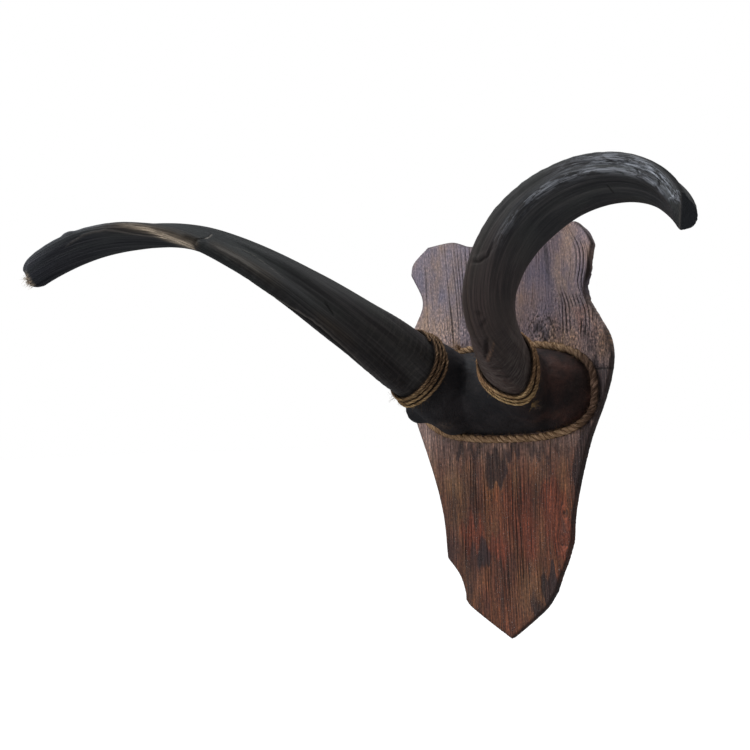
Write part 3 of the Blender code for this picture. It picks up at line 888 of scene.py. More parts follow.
def hornPaint(name):
    setup = hornColors[name]
    paint = Finish("hornKeratin_" + name, specular=setup["specular"])
    way = paint.attribute("way", vector=True)
    grey, brown, tan = paint.parts(paint.attribute("wear", vector=True))
    crackAndShade, light, cut = paint.parts(paint.attribute("mark", vector=True))
    streak = paint.cloud(paint.stretched(way, (420, 420, 9)), detail=4.0, roughness=0.6)
    fine = paint.cloud(paint.stretched(way, (1500, 1500, 40)), detail=3.0, roughness=0.65)
    broad = paint.cloud(paint.stretched(way, (45, 45, 16)), detail=2.0)
    flake = paint.cloud(paint.stretched(way, (230, 230, 60)), detail=5.0, roughness=0.7)
    rings = paint.cloud(paint.stretched(way, (70, 70, 480)), detail=3.0, roughness=0.6)
    across, _, distance = paint.parts(way)

    # near black, streaked, and warmer towards the root
    dark = paint.ramp(streak, ((0.36, (0.0060, 0.0066, 0.0078)), (0.50, (0.0115, 0.0122, 0.0132)),
                               (0.64, (0.0270, 0.0265, 0.0270))))
    clouded = paint.blend(broad.rise(0.46, 0.66) * 0.6, dark, tone(0.019, 0.021, 0.020))
    lifted = paint.blend(fine.rise(0.52, 0.70) * 0.35, clouded, tone(0.048, 0.048, 0.050))
    toned = paint.times(lifted, paint.ramp(distance / lines[name].length, setup["along"]))
    # painted shade on the horn's underside
    shadedUnderside = across.rise(-0.012, 0.004) * distance.rise(0.16, 0.26)
    shaded = paint.tinted(shadedUnderside, toned, tone(*[setup["undersideShade"]] * 3))
    warmth = (distance + broad * 0.06).fall(0.04, 0.27) * (0.35 + streak * 0.7) * setup["warmth"]
    warmed = paint.blend(warmth, shaded, tone(0.074, 0.050, 0.043))

    # growth rings round the root
    ringFade = distance.fall(0.02, 0.14) * setup["rings"]
    troughs = paint.blend(ringFade * rings.fall(0.36, 0.48) * 0.65, warmed, tone(0.010, 0.008, 0.007))
    ringed = paint.blend(ringFade * rings.rise(0.50, 0.64) * 0.60, troughs, tone(0.160, 0.140, 0.124))

    # worn patches, the painted ridge highlight, marks and the cut
    brownTone = paint.ramp(streak, ((0.35, (0.030, 0.021, 0.015)), (0.65, (0.090, 0.068, 0.048))))
    browned = paint.blend((brown * (0.5 + streak)).clamped(), ringed, brownTone)
    # grey flakes of wear, and along the right horn's ridge a painted highlight in the same grey
    worn = (grey * flake.rise(0.44, 0.56)).clamped()
    greyTone = paint.ramp(fine, ((0.4, (0.110, 0.119, 0.141)), (0.6, (0.47, 0.500, 0.56))))
    greyed = paint.blend(worn * 0.85, browned, greyTone)
    split = 0.45 + 1.15 * flake.rise(0.42, 0.58)
    fibres = (tan * (streak * 0.9 + fine * 0.7).rise(0.50, 0.88) * split).clamped()
    tanned = paint.blend(fibres, greyed, paint.ramp(fine, setup["tan"]))
    lit = paint.blend((light * (0.4 + fine)).clamped(), tanned, tone(0.215, 0.195, 0.175))
    cutTone = paint.ramp(fine, ((0.42, (0.012, 0.014, 0.018)), (0.58, (0.060, 0.066, 0.078))))
    sawn = paint.blend(cut * 0.7, lit, cutTone)
    # near black in the cracks and in the painted shade on the top of the right tip
    crackedAndShaded = paint.blend(crackAndShade * 0.85, sawn, tone(0.002, 0.002, 0.002))
    paint.set("Base Color", crackedAndShaded)

    roughness = 0.45 + 0.16 * streak + 0.22 * worn + 0.20 * fibres + 0.12 * brown + 0.45 * crackAndShade
    paint.set("Roughness", roughness.clamped())
    height = fine * 0.5 + streak * 0.6 + flake * grey * 1.3 + rings * distance.fall(0.03, 0.13) * 0.9
    paint.set("Normal", paint.bump(height, 0.00055, 0.8))
    return paint


# The board

boardForm = {
    "thickness": 0.011,
    "centreX": -0.0045,
    "footBelowOrigin": 0.250,
    # each half of the outline in millimetres from the foot up, counted outwards from the middle line
    "right": (
        ((0, 0), (18.5, 15), (38, 32.5), (49.5, 49)),
        ((49.5, 49), (55.5, 65), (62.5, 81), (68.5, 98)),
        ((68.5, 98), (71.5, 126), (79, 159), (91, 199), (108.5, 241), (117, 274), (115, 297), (104.5, 318),
         (95.5, 335), (93, 347), (97.5, 367), (102.5, 389)),
        ((102.5, 389), (97, 402), (86, 413)),
        ((86, 413), (68, 414), (50, 411), (32, 404), (0, 399)),
    ),
    "left": (
        ((0, 0), (22, 14), (44, 29), (50, 36)),
        ((50, 36), (51, 46), (57, 62), (70, 78)),
        ((70, 78), (71.5, 102), (74.5, 127), (82.5, 160), (96.5, 202), (112, 248), (118, 278), (113, 302),
         (99.5, 326), (91.5, 342), (92, 356), (104, 379)),
        ((104, 379), (100, 392), (82, 407)),
        ((82, 407), (66, 408.5), (50, 408.5), (32, 402), (0, 399)),
    ),
    "runStep": 0.003,
    "trailStep": 0.0004,
    "cellAcross": 0.00050,
    "cellUp": 0.0018,
    "weld": 0.00005,
    "deepest": 0.0009,
    "edgeRound": 0.0022,
    "edgeUneven": ((0.35, (60, 1, 60), 7.0),),
    "edgeWorn": ((0.0012, (130, 1, 60), 17.0),),
    "edgeBurnt": 0.85,
    "burntOver": (0.0003, 0.0022),
    "wallSteps": 5,
    "wallBurnt": 0.70,
    "wallFade": 0.45,
    "wallRough": 0.00030,
    "wallPerMetre": 420,
    "sharpAngle": 60,
    "bark": {"from": 0.076, "to": 0.130, "inside": 0.05, "depth": 0.0019, "outside": 0.15,
             "perMetre": (240, 130), "layers": ((0.7, 1.0), (0.49, 2.7), (0.28, 6.1))},
}

# Where the brushed lines run deep: middle, half size, strength, and how many lines and breaks per metre
grooveFields = (
    {"x": 0.087, "z": 0.124, "wide": 0.021, "tall": 0.050, "strength": 0.95, "across": 230, "along": 5},
    {"x": -0.050, "z": 0.108, "wide": 0.020, "tall": 0.062, "strength": 0.95, "across": 230, "along": 5},
    {"x": 0.078, "z": 0.073, "wide": 0.025, "tall": 0.022, "strength": 1.4, "across": 240, "along": 26},
    {"x": 0.004, "z": -0.150, "wide": 0.056, "tall": 0.105, "strength": 0.75, "across": 270, "along": 7},
    {"x": 0.010, "z": -0.160, "wide": 0.026, "tall": 0.075, "strength": 1.0, "across": 220, "along": 4},
    {"x": -0.046, "z": -0.120, "wide": 0.016, "tall": 0.080, "strength": 0.85, "across": 300, "along": 9},
    {"x": 0.052, "z": -0.110, "wide": 0.018, "tall": 0.050, "strength": 0.7, "across": 260, "along": 9},
    {"x": 0.100, "z": 0.036, "wide": 0.018, "tall": 0.024, "strength": 0.6, "across": 320, "along": 60},
    {"x": -0.070, "z": -0.070, "wide": 0.022, "tall": 0.018, "strength": 0.55, "across": 300, "along": 90},
    {"x": 0.040, "z": 0.110, "wide": 0.026, "tall": 0.050, "strength": 0.35, "across": 300, "along": 10},
    {"x": -0.088, "z": 0.095, "wide": 0.012, "tall": 0.050, "strength": 0.75, "across": 230, "along": 6},
    {"x": 0.098, "z": -0.030, "wide": 0.018, "tall": 0.040, "strength": 0.5, "across": 300, "along": 12},
)

knots = (
    {"x": 0.0420, "z": 0.0590, "size": 0.013, "rough": 0.0016},
    {"x": 0.0583, "z": 0.0868, "size": 0.005, "rough": 0.0005},
    {"x": 0.0572, "z": -0.1493, "size": 0.006, "rough": 0.0004},
    {"x": 0.0595, "z": -0.1220, "size": 0.004, "rough": 0.0003},
)

# The grain wanders, bends along the right ear by height, leans on the left one and parts round the knots
grainForm = {
    "wander": ((0.0030, (14, 1, 5), 3.0), (0.0009, (45, 1, 14), 19.0)),
    "rightBend": ((0.04, 0.0), (0.075, -0.001), (0.100, 0.0055), (0.118, 0.002), (0.133, 0.001),
                  (0.146, 0.0045), (0.158, 0.011), (0.172, 0.022)),
    "rightFrom": (0.040, 0.078),
    "leftLean": 0.06,
    "leftAbove": 0.05,
    "leftRise": 0.12,
    "leftFrom": (-0.06, -0.01),
    "knotHeight": 0.55,
    "knotPush": 0.9,
    "knotSoftness": 0.35,
}

# Stains in the wood, by kind: middle and half size of each patch in millimetres, and its strength
stains = {
    "dark": (
        (-15, -79, 11, 20, 1), (76, -75, 6, 45, 0.55), (70, -130, 6, 40, 0.45), (41, -192, 10, 14, 1),
        (-32, -165, 9, 12, 0.6), (104, -10, 16, 60, 0.55), (104, 16, 22, 6, 0.9),
        (-45, -190, 10, 30, 0.4), (98, 44, 20, 24, 0.45), (0, -62, 90, 10, 0.45), (51, 126, 5, 24, 0.5),
        (27, -213, 10, 18, 0.5), (42, 58, 12, 10, 0.45), (88, -50, 14, 30, 0.6), (108, 60, 8, 20, 0.3),
    ),
    "red": (
        (46, -120, 14, 30, 1), (20, -140, 14, 34, 0.7), (-45, -146, 14, 16, 0.8),
        (-16, -160, 12, 12, 1), (56, -147, 12, 18, 0.9), (86, 70, 10, 12, 0.5),
        (-10, -125, 16, 30, 0.5), (90, 50, 14, 16, 0.4), (14, -122, 20, 34, 0.6),
    ),
    "tan": (
        (5, -82, 6, 26, 0.8), (48, -88, 18, 22, 0.6), (19, -205, 16, 30, 0.8), (8, -180, 10, 20, 0.6),
        (68, 116, 11, 22, 0.7), (-74, 68, 16, 20, 0.9), (-60, 60, 8, 20, 0.7), (57, 46, 16, 10, 0.8),
        (-53, -90, 12, 30, 0.5), (72, 150, 12, 12, 0.6), (-15, -140, 5, 20, 0.6),
        (30, -155, 6, 40, 0.5), (-79, 120, 9, 26, 0.7), (-90, 74, 14, 14, 0.8), (86, 76, 12, 14, 0.6),
    ),
}

# How the edges of the stains are drawn out, across and along the grain, and how soft they are
stainEdges = {
    "across": ((0.0035, (90, 1, 30), 61.0),),
    "along": ((0.018, (170, 1, 12), 67.0),),
    "softness": 0.6,
}


def smoothRun(points):
    points = [Vector((x * mm, z * mm)) for x, z in points]
    padded = [points[0] * 2 - points[1], *points, points[-1] * 2 - points[-2]]
    run = []
    for before, start, end, after in zip(padded, padded[1:], padded[2:], padded[3:]):
        steps = max(1, round((end - start).length / boardForm["runStep"]))
        for step in range(steps):
            part = step / steps
            run.append(0.5 * (2 * start + (end - before) * part
                              + (2 * before - 5 * start + 4 * end - after) * part ** 2
                              + (3 * start - before - 3 * end + after) * part ** 3))
    return run


def boardOutline():
    form = boardForm
    right = [point for run in form["right"] for point in smoothRun(run)]
    left = [point for run in form["left"] for point in smoothRun(run)]
    left = [Vector((-point.x, point.y)) for point in reversed(left[1:])]
    top = Vector((0, form["right"][-1][-1][1] * mm))
    return np.array([*right, top, *left]) + np.array((form["centreX"], -form["footBelowOrigin"]))


def insideOutline(outline, x, z):
    inside = np.zeros(len(x), bool)
    for (startX, startZ), (endX, endZ) in zip(outline, np.roll(outline, -1, axis=0)):
        if startZ == endZ:
            continue
        crosses = (startZ > z) != (endZ > z)
        inside ^= crosses & (x < (endX - startX) * (z - startZ) / (endZ - startZ) + startX)
    return inside


def trailTree(outline):
    # the outline as close points that can be searched
    trail = []
    for start, end in zip(outline, np.roll(outline, -1, axis=0)):
        steps = max(1, round(np.linalg.norm(end - start) / boardForm["trailStep"]))
        trail += [start + (end - start) * step / steps for step in range(steps)]
    tree = kdtree.KDTree(len(trail))
    for index, point in enumerate(trail):
        tree.insert((point[0], 0.0, point[1]), index)
    tree.balance()
    return tree


def grainPlace(x, z):
    # where a point lies across the grain, which runs up
    form = grainForm
    bend = form["rightBend"]
    ring = x + layeredNoise(onFace(x, z), form["wander"])
    ring += smoothTable(bend, np.clip(z, bend[0][0], bend[-1][0])) * easeBetween(*form["rightFrom"], x)
    leftUp = np.clip(z - form["leftAbove"], 0.0, form["leftRise"])
    ring += form["leftLean"] * leftUp * (1 - easeBetween(*form["leftFrom"], x))
    for knot in knots:
        acrossKnot = x - knot["x"]
        upKnot = (z - knot["z"]) * form["knotHeight"]
        far = (acrossKnot ** 2 + upKnot ** 2) / knot["size"] ** 2
        ring -= acrossKnot * form["knotPush"] / (form["knotSoftness"] + far)
    return ring


def grainLines(ring, z, across, along, shift, width):
    # 1 on thin lines that follow the grain and run together here and there
    return 1 - easeBetween(0.0, width, np.abs(noiseOver(onFace(ring, z), (across, 1, along), shift)))


def combLines(ring, z, across, along, shift, width):
    # 1 on long even lines a little apart, each one deep here and shallow there
    phase = ring * across + 0.9 * noiseOver(onFace(ring, z), (across * 0.35, 1, along), shift)
    line = np.rint(phase)
    found = 1 - easeBetween(0.0, width, np.abs(phase - line))
    broken = noiseOver(onFace(line * 0.37, z * along * 2.5), 1.0, shift)
    return found * np.clip(0.62 + 1.1 * broken, 0.08, 1.1)


reliefForm = {
    "fieldDepth": 0.0010,
    "fieldLineWidth": 0.22,
    # finer lines all over the lower board, which give way to pits on the ears
    "finePitch": (370, 9),
    "fineDepth": 0.00040,
    "fineLineWidth": 0.24,
    "breakDepth": 0.00030,
    "pitDepth": 0.00022,
    "hairDepth": 0.00012,
    "knotReach": 4,
    "knotRing": 0.55,
    "checkLevel": 0.0165,
    "checkWidth": 0.0012,
    "checkDepth": 0.0008,
    "checkStarts": (0.090, 0.098),
}


def knotRelief(depth, x, z, flat):
    # pits and part rings round each knot
    form = reliefForm
    for knot in knots:
        far = np.hypot(x - knot["x"], (z - knot["z"]) * 0.85) / knot["size"]
        used = np.flatnonzero(far < form["knotReach"])
        far, spots = far[used], flat[used]
        pits = 0.45 * easeBetween(0.0, 0.40, noiseOver(spots, (520, 1, 340), 59.0))
        wave = np.sin(far * 3.3 + 0.8 * noiseOver(spots, (90, 1, 90), 5.0))
        arcs = 1 - easeBetween(0.0, 0.35, np.abs(wave))
        arcs *= easeBetween(0.4, 0.8, far) * (1 - easeBetween(1.6, 2.4, far))
        arcs *= easeBetween(-0.15, 0.25, noiseOver(spots, (150, 1, 150), 77.0))
        depth[used] += knot["rough"] * np.exp(-(far / 1.5) ** 2) * pits
        depth[used] = np.maximum(depth[used], knot["rough"] * form["knotRing"] * arcs)


def boardRelief(x, z):
    # how deep the brushed surface lies below the board's face
    form = reliefForm
    flat = onFace(x, z)
    ring = grainPlace(x, z)
    depth = np.zeros(len(x))
    for index, field in enumerate(grooveFields):
        reach = np.exp(-((x - field["x"]) / field["wide"]) ** 4 - ((z - field["z"]) / field["tall"]) ** 4)
        used = np.flatnonzero(reach > 0.01)
        found = combLines(ring[used], z[used], field["across"], field["along"], 31.0 * index,
                          form["fieldLineWidth"])
        depth[used] = np.maximum(depth[used], form["fieldDepth"] * field["strength"] * found * reach[used])
    lined = 1 - 0.75 * easeBetween(0.030, 0.075, z + 0.02 * noiseOver(flat, (40, 1, 20), 33.0))
    fine = combLines(ring, z, *form["finePitch"], 131.0, form["fineLineWidth"])
    depth = np.maximum(depth, form["fineDepth"] * fine * lined)
    depth = np.maximum(depth, form["breakDepth"] * grainLines(ring, z, 300, 16, 211.0, 0.12) * lined)
    depth += form["pitDepth"] * easeBetween(0.05, 0.45, noiseOver(flat, (520, 1, 300), 91.0)) * (1 - lined)
    depth += form["hairDepth"] * (noiseOver(onFace(ring, z), (800, 1, 26), 47.0) + 0.5)
    knotRelief(depth, x, z, flat)
    wander = form["checkWidth"] * noiseOver(flat, (70, 1, 1), 9.0)
    check = 1 - easeBetween(0.0, form["checkWidth"], np.abs(z - form["checkLevel"] - wander))
    depth = np.maximum(depth, form["checkDepth"] * check * easeBetween(*form["checkStarts"], x))
    return depth, ring


def stainValues(x, z):
    # how strong each kind of stain is, with edges drawn out along the grain
    flat = onFace(x, z)
    movedX = x + layeredNoise(flat, stainEdges["across"])
    movedZ = z + layeredNoise(flat, stainEdges["along"])
    kinds = []
    for kind in stains:
        value = np.zeros(len(x))
        for middleX, middleZ, wide, tall, strength in stains[kind]:
            farX = (movedX - middleX * mm) / (wide * mm)
            farZ = (movedZ - middleZ * mm) / (tall * mm)
            far = farX ** 2 + farZ ** 2
            value = np.maximum(value, strength * np.exp(-far * far * stainEdges["softness"]))
        kinds.append(value)
    return np.stack(kinds, axis=-1)


def roughenWall(vertex, level):
    # the sawn wall is a little rough, and keeps its bark on the right ear
    form, bark = boardForm, boardForm["bark"]
    place = vertex.co
    outward = Vector((place.x - form["centreX"], 0, 0)).normalized()
    rough = form["wallRough"] * noise.noise(place * form["wallPerMetre"]) * (1 - level)
    if bark["from"] < place.z < bark["to"] and place.x > bark["inside"]:
        share = (place.z - bark["from"]) / (bark["to"] - bark["from"])
        deep, tall = bark["perMetre"]
        spot = Vector((0, place.y * deep, place.z * tall))
        rugged = sum(part * noise.noise(spot * finer) for part, finer in bark["layers"])
        rough += bark["depth"] * (rugged + bark["outside"]) * math.sin(math.pi * share) * (1 - 0.6 * level)
    vertex.co += outward * rough


def makeBoard(paint):
    form = boardForm
    outline = boardOutline()
    tree = trailTree(outline)
    low = outline.min(axis=0) - form["cellUp"]
    high = outline.max(axis=0) + form["cellUp"]
    span = high - low
    cells = round(span[0] / form["cellAcross"]), round(span[1] / form["cellUp"])
    mesh, across, up = gridMesh("board", *cells)
    x = low[0] + across * span[0]
    z = low[1] + up * span[1]
    # points outside the outline are drawn in to it
    inside = insideOutline(outline, x, z)
    nearest = [tree.find((px, 0.0, pz)) for px, pz in zip(x.tolist(), z.tolist())]
    rim = np.array([found[0][:] for found in nearest])
    edge = np.where(inside, [found[2] for found in nearest], 0.0)
    x = np.where(inside, x, rim[:, 0])
    z = np.where(inside, z, rim[:, 2])
    flat = onFace(x, z)
    depth, ring = boardRelief(x, z)
    roundOver = form["edgeRound"] * (1 + layeredNoise(flat, form["edgeUneven"]))
    left = np.clip(1 - edge / roundOver, 0.0, 1.0)
    drop = roundOver * (1 - np.sqrt(1 - left * left))
    placePoints(mesh, np.stack([x, -form["thickness"] + depth + drop, z], axis=-1))
    worn = edge + layeredNoise(flat, form["edgeWorn"])
    storeValues(mesh, "groove", np.clip(depth / form["deepest"], 0.0, 1.0))
    storeValues(mesh, "burnt", form["edgeBurnt"] * (1 - easeBetween(*form["burntOver"], worn)))
    storeValues(mesh, "ring", onFace(ring, z))
    storeValues(mesh, "stain", stainValues(x, z))

    work = bmesh.new()
    work.from_mesh(mesh)
    work.verts.ensure_lookup_table()
    outside = [face for face in work.faces if not any(inside[vertex.index] for vertex in face.verts)]
    bmesh.ops.delete(work, geom=outside, context="FACES")
    bmesh.ops.remove_doubles(work, verts=work.verts[:], dist=form["weld"])
    burnt = work.verts.layers.float["burnt"]
    groove = work.verts.layers.float["groove"]
    ringPlace = work.verts.layers.float_vector["ring"]
    border = [item for item in work.edges if item.is_boundary]
    last = 0.0
    for level in np.linspace(0, 1, form["wallSteps"] + 1)[1:]:
        pushed = bmesh.ops.extrude_edge_only(work, edges=border)["geom"]
        fresh = [item for item in pushed if isinstance(item, bmesh.types.BMVert)]
        border = [item for item in pushed if isinstance(item, bmesh.types.BMEdge) and item.is_boundary]
        kept = (1 - level) / (1 - last)
        for vertex in fresh:
            vertex.co.y *= kept
            vertex[groove] *= kept
            vertex[burnt] = form["wallBurnt"] - form["wallFade"] * level
            vertex[ringPlace] = vertex[ringPlace].lerp((vertex.co.x, 0, vertex.co.z), level)
            roughenWall(vertex, level)
        last = level
    bmesh.ops.holes_fill(work, edges=border, sides=0)
    bmesh.ops.recalc_face_normals(work, faces=work.faces[:])
    work.to_mesh(mesh)
    work.free()
    addPiece("wallShield", mesh, paint, "wood", "shield")
    mesh.set_sharp_from_angle(angle=math.radians(form["sharpAngle"]))


def woodPaint():
    paint = Finish("brushedWood", specular=0.32)
    place = paint.objectPlace()
    ring = paint.attribute("ring", vector=True)
    side, _, height = paint.parts(place)
    dark, red, tan = paint.parts(paint.attribute("stain", vector=True))
    fibre = paint.cloud(paint.stretched(ring, (950, 1, 24)), detail=4.0, roughness=0.65)
    band = paint.cloud(paint.stretched(ring, (150, 1, 7)), detail=3.0, roughness=0.6)
    patch = paint.cloud(paint.stretched(place, (30, 1, 14)), detail=3.0, roughness=0.55)
    stain = paint.cloud(paint.stretched(place, (60, 1, 22), (3.7, 0.0, 8.1)), detail=4.0, roughness=0.65)
    grain = paint.cloud(paint.stretched(place, (1300, 1, 620)), detail=2.0)
    rough = paint.cloud(paint.stretched(place, (640, 1, 330)), detail=3.0, roughness=0.6)
    hairs = paint.cloud(paint.stretched(ring, (330, 1, 9)), detail=1.0, roughness=0.4)
    fineLines = (hairs - 0.5).maths("ABSOLUTE").fall(0.0, 0.07)

    # greyed and paler on the ears, red-brown below
    bare = paint.ramp(patch, ((0.32, (0.140, 0.124, 0.165)), (0.46, (0.205, 0.162, 0.180)),
                              (0.56, (0.235, 0.170, 0.158)), (0.68, (0.320, 0.205, 0.140))))
    across = (side + patch * 0.02) * 5 + 0.45
    paler = paint.ramp(across, ((0.24, (1.14, 1.23, 1.32)), (0.62, (0.68, 0.66, 0.71)),
                                (0.80, (0.68, 0.65, 0.69)), (0.96, (1.22, 1.18, 1.16))))
    panel = paint.ramp(patch, ((0.32, (0.082, 0.032, 0.024)), (0.48, (0.130, 0.045, 0.026)),
                               (0.66, (0.185, 0.072, 0.032))))
    banded = paint.blend(band.rise(0.50, 0.72) * 0.5, panel, tone(0.090, 0.044, 0.032))
    panelled = paint.tinted((side + patch * 0.03).fall(-0.050, 0.000), banded, tone(0.80, 0.98, 1.16))
    middle = paint.blend((height + patch * 0.08).rise(-0.050, 0.020), panelled, tone(0.150, 0.090, 0.080))
    # painted light: the board from the rope's foot up is made paler where the boss shades it
    litBelowBoss = paint.tinted((height + patch * 0.05).rise(-0.090, -0.040), middle, tone(1.64, 1.94, 2.05))
    onEars = (height + patch * 0.06).rise(0.030, 0.105)
    whole = paint.blend(onEars, litBelowBoss, paint.times(bare, paler))

    # stains, each redder or paler by height
    upper = height.rise(0.0, 0.06)
    tanTone = paint.blend(upper, tone(0.230, 0.118, 0.060), tone(0.340, 0.235, 0.170))
    tanned = paint.blend((tan * stain.rise(0.30, 0.60) * 0.75).clamped(), whole, tanTone)
    redTone = paint.blend(upper, tone(0.185, 0.049, 0.027), tone(0.180, 0.080, 0.058))
    reddened = paint.blend((red * 1.2 - stain * 0.8 + fibre * 0.3).rise(0.0, 0.70) * 0.85, tanned, redTone)
    soaked = (dark * 1.25 - stain * 0.9 + fibre * 0.45).rise(0.16, 0.44)
    darkened = paint.blend(soaked * 0.78, reddened, tone(0.019, 0.016, 0.022))

    # brushed fibres, grooves, painted highlight glints and burnt edges
    mottled = (height + patch * 0.06).rise(0.030, 0.095) * 0.42
    texture = fibre * (0.62 - mottled) + rough * (0.38 + mottled)
    strength = 1 - 0.60 * (height + patch * 0.05).rise(0.070, 0.120)
    streaks = paint.ramp(texture, ((0.40, (0.30, 0.27, 0.27)), (0.48, (0.86, 0.86, 0.86)),
                                   (0.54, (1.20, 1.16, 1.12)), (0.61, (2.50, 2.22, 1.90))))
    streaky = paint.blend(strength, darkened, streaks, way="MULTIPLY")
    lined = fineLines * band.rise(0.35, 0.60) * (0.55 - mottled)
    hairy = paint.blend(lined, streaky, tone(0.022, 0.014, 0.013))
    groove = (paint.attribute("groove") * (0.8 + 0.4 * fibre)).rise(0.18, 0.80)
    grooved = paint.blend(groove * 0.86, hairy, tone(0.013, 0.009, 0.008))
    # pale specks on the fibre bands: painted highlight glints
    glint = (grain.rise(0.64, 0.70) * band.rise(0.40, 0.58)).clamped()
    glinted = paint.blend(glint * 0.65, grooved, tone(0.55, 0.50, 0.48))
    burnt = (paint.attribute("burnt") * (0.30 + 1.3 * stain)).clamped()
    burned = paint.blend(burnt * 0.90, glinted, tone(0.034, 0.020, 0.017))
    paint.set("Base Color", burned)

    paint.set("Roughness", 0.44 + 0.22 * fibre + 0.18 * groove + 0.15 * burnt)
    relief = fibre * 0.8 + rough * 0.5 + grain * 0.3 + band * 0.3 - fineLines * 0.5
    paint.set("Normal", paint.bump(relief, 0.00090, 0.9))
    return paint


# The hide over the skull plate, drawn up round the horns

bossForm = {
    "ropeHalfWidth": 0.097,
    "ropeHalfHeight": 0.047,
    "ropePower": 2.8,
    "ropeCentreZ": -0.002,
    "inset": 0.0036,
    "domeGrid": (120, 40),
    "tubeAround": 96,
    "sleeveRows": 80,
    "socketRows": 22,
    "height": 0.058,
    "lift": 0.22,
    "shoulder": 0.36,
    "top": 0.12,
    "start": -0.010,
    "wall": 0.0032,
    "flare": 0.005,
    "flareStarts": 0.0095,
    "flarePower": 0.6,
    "pressedEdge": (-0.0015, 0.001),
    "rim": 0.0015,
    "rimFrom": -0.006,
    "rimThinning": 0.0016,
    "inside": 0.092,
    "voxel": 0.00135,
    "smoothStarts": 0.012,
    "smoothPasses": 34,
    "smoothFactor": 0.6,
    "lastFactor": 0.5,
    # where the skin is free of the horns, and how far its folds and wrinkles stand out there
    "freeOver": (0.004, 0.016),
    "foldHeight": 0.0011,
    "wrinkleHeight": 0.00035,
    "broad": ((0.6, (38, 38, 52), 5.0),),
    "wrinkles": ((1.0, 260, 25.0),),
    "socketGap": 0.0004,
    "socketDepth": 0.056,
    "clearOfBoard": 0.0002,
}

# Where spare hide stands out of the skin: how far, which way it is pushed, and which way it is thin
hideFlap = {
    "place": (-0.0790, -0.0600, -0.0110),
    "reach": 0.019,
    "push": (-0.0130, -0.0010, -0.0095),
    "thin": (-0.548, 0.835, 0.054),
    "thinness": 1.1,
    "ragged": ((0.25, 90, 88.0),),
}

scuffShape = (1, 0.5, 1.6)
hideScuffs = (
    {"place": (-0.0514, -0.0450, -0.0326), "reach": 0.0070},
    {"place": (-0.0600, -0.0400, -0.0300), "reach": 0.0050},
    {"place": (0.0673, -0.0450, -0.0281), "reach": 0.0060},
    {"place": (0.0600, -0.0640, -0.0200), "reach": 0.0040},
)

# Frayed ends: where they start, the way they point, how many fibres and how long
frayedEnds = {
    "right": {"place": (0.0600, -0.0770, -0.0165), "toward": (0.70, -0.35, -0.50), "count": 30,
              "reach": 0.0065},
    "left": {"place": (-0.0770, -0.0960, -0.0040), "toward": (-0.60, -0.20, -0.70), "count": 14,
             "reach": 0.008},
    "rope": {"place": (-0.0480, -0.0165, 0.0460), "toward": (-0.50, -0.60, 0.60), "count": 70,
             "reach": 0.011},
}

twineForm = {
    "diameter": 0.0038,
    "turns": 4,
    "bite": 0.0008,
    "plies": 3,
    "plyShare": 0.56,
    "spread": 0.0084,
    "ahead": 0.0014,
    "startAngle": 0.6,
    # how the turns wander along the horn: how far, how often per turn, and from where
    "wander": ((0.0008, 1.7, 0.5), (0.0003, 4.3, 0.0)),
    # how high it lies on the horn, how much higher on the hide, where it drops off its rim, how it rises
    "onHorn": 0.0001,
    "onHide": 0.0031,
    "drop": (-0.007, 0.004),
    "rise": (0.0003, 0.55, 2.0),
    # its ends are tucked in
    "tuckSteps": 14,
    "tuckDepth": 0.0024,
    "lay": 0.022,
    "stepsPerTurn": 170,
    "plySides": 9,
    "hairs": 420,
    "hairReach": 0.006,
}


def superellipse(angle, halfWidth, halfHeight, power):
    cosine, sine = np.cos(angle), np.sin(angle)
    across = np.sign(cosine) * np.abs(cosine) ** (2 / power) * halfWidth
    up = np.sign(sine) * np.abs(sine) ** (2 / power) * halfHeight
    return across, up


def domeMesh():
    form = bossForm
    mesh, around, up = gridMesh("dome", *form["domeGrid"])
    share = np.clip(up * 1.1, 0.0, 1.0)
    closing = 1 - easeBetween(0.91, 1.0, up)
    height = form["start"] + (form["height"] - form["start"]) * np.sin(share * math.pi / 2)
    scale = np.maximum(1 - np.maximum(height, 0.0) / form["height"], 0.0) ** form["shoulder"]
    scale = np.maximum(scale, form["top"]) * closing
    scale = np.where(up == 0, 0.0, scale)
    across, tall = superellipse(around * 2 * math.pi, form["ropeHalfWidth"] - form["inset"],
                                form["ropeHalfHeight"] - form["inset"], form["ropePower"])
    level = form["ropeCentreZ"] + form["lift"] * np.maximum(height, 0.0) + tall * scale
    placePoints(mesh, np.stack([across * scale, -boardForm["thickness"] - height, level], axis=-1))
    weld(mesh)
    return mesh


def closedTube(name, line, rows, distanceAt, offsetAt):
    # a tube round a horn's line, closed at both ends
    mesh, around, up = gridMesh(name, bossForm["tubeAround"], rows + 2)
    row = np.rint(up * (rows + 2)).astype(int)
    distance = distanceAt(np.clip((row - 1) / rows, 0.0, 1.0))
    centre, offset = offsetAt(around * 2 * math.pi, distance)
    wide = np.where((row == 0) | (row == rows + 2), 0.0, 1.0)[:, None]
    placePoints(mesh, line.inPlace(centre + offset * wide))
    weld(mesh)
    return mesh


def sleeveMesh(line):
    # the hide drawn up round a horn's root, and pressed in under the twine
    form = bossForm

    def distanceAt(share):
        return form["rim"] - (form["rim"] + form["inside"]) * share

    def offsetAt(angle, distance):
        depth = np.maximum(-distance - form["flareStarts"], 0.0) / form["inside"]
        grow = form["wall"] + form["flare"] * depth ** form["flarePower"]
        half = twineForm["diameter"] * twineForm["turns"] / 2
        pressed = 1 - easeBetween(*(half + far for far in form["pressedEdge"]), -distance)
        rimmed = easeBetween(form["rimFrom"], form["rim"], distance)
        grow = grow - twineForm["bite"] * pressed - form["rimThinning"] * rimmed
        centre, offset = line.section(angle, line.askew(distance, angle), 0.0, sizeFrom=distance)
        return centre, offset + unit(offset) * grow[:, None]

    return closedTube("sleeve", line, form["sleeveRows"], distanceAt, offsetAt)


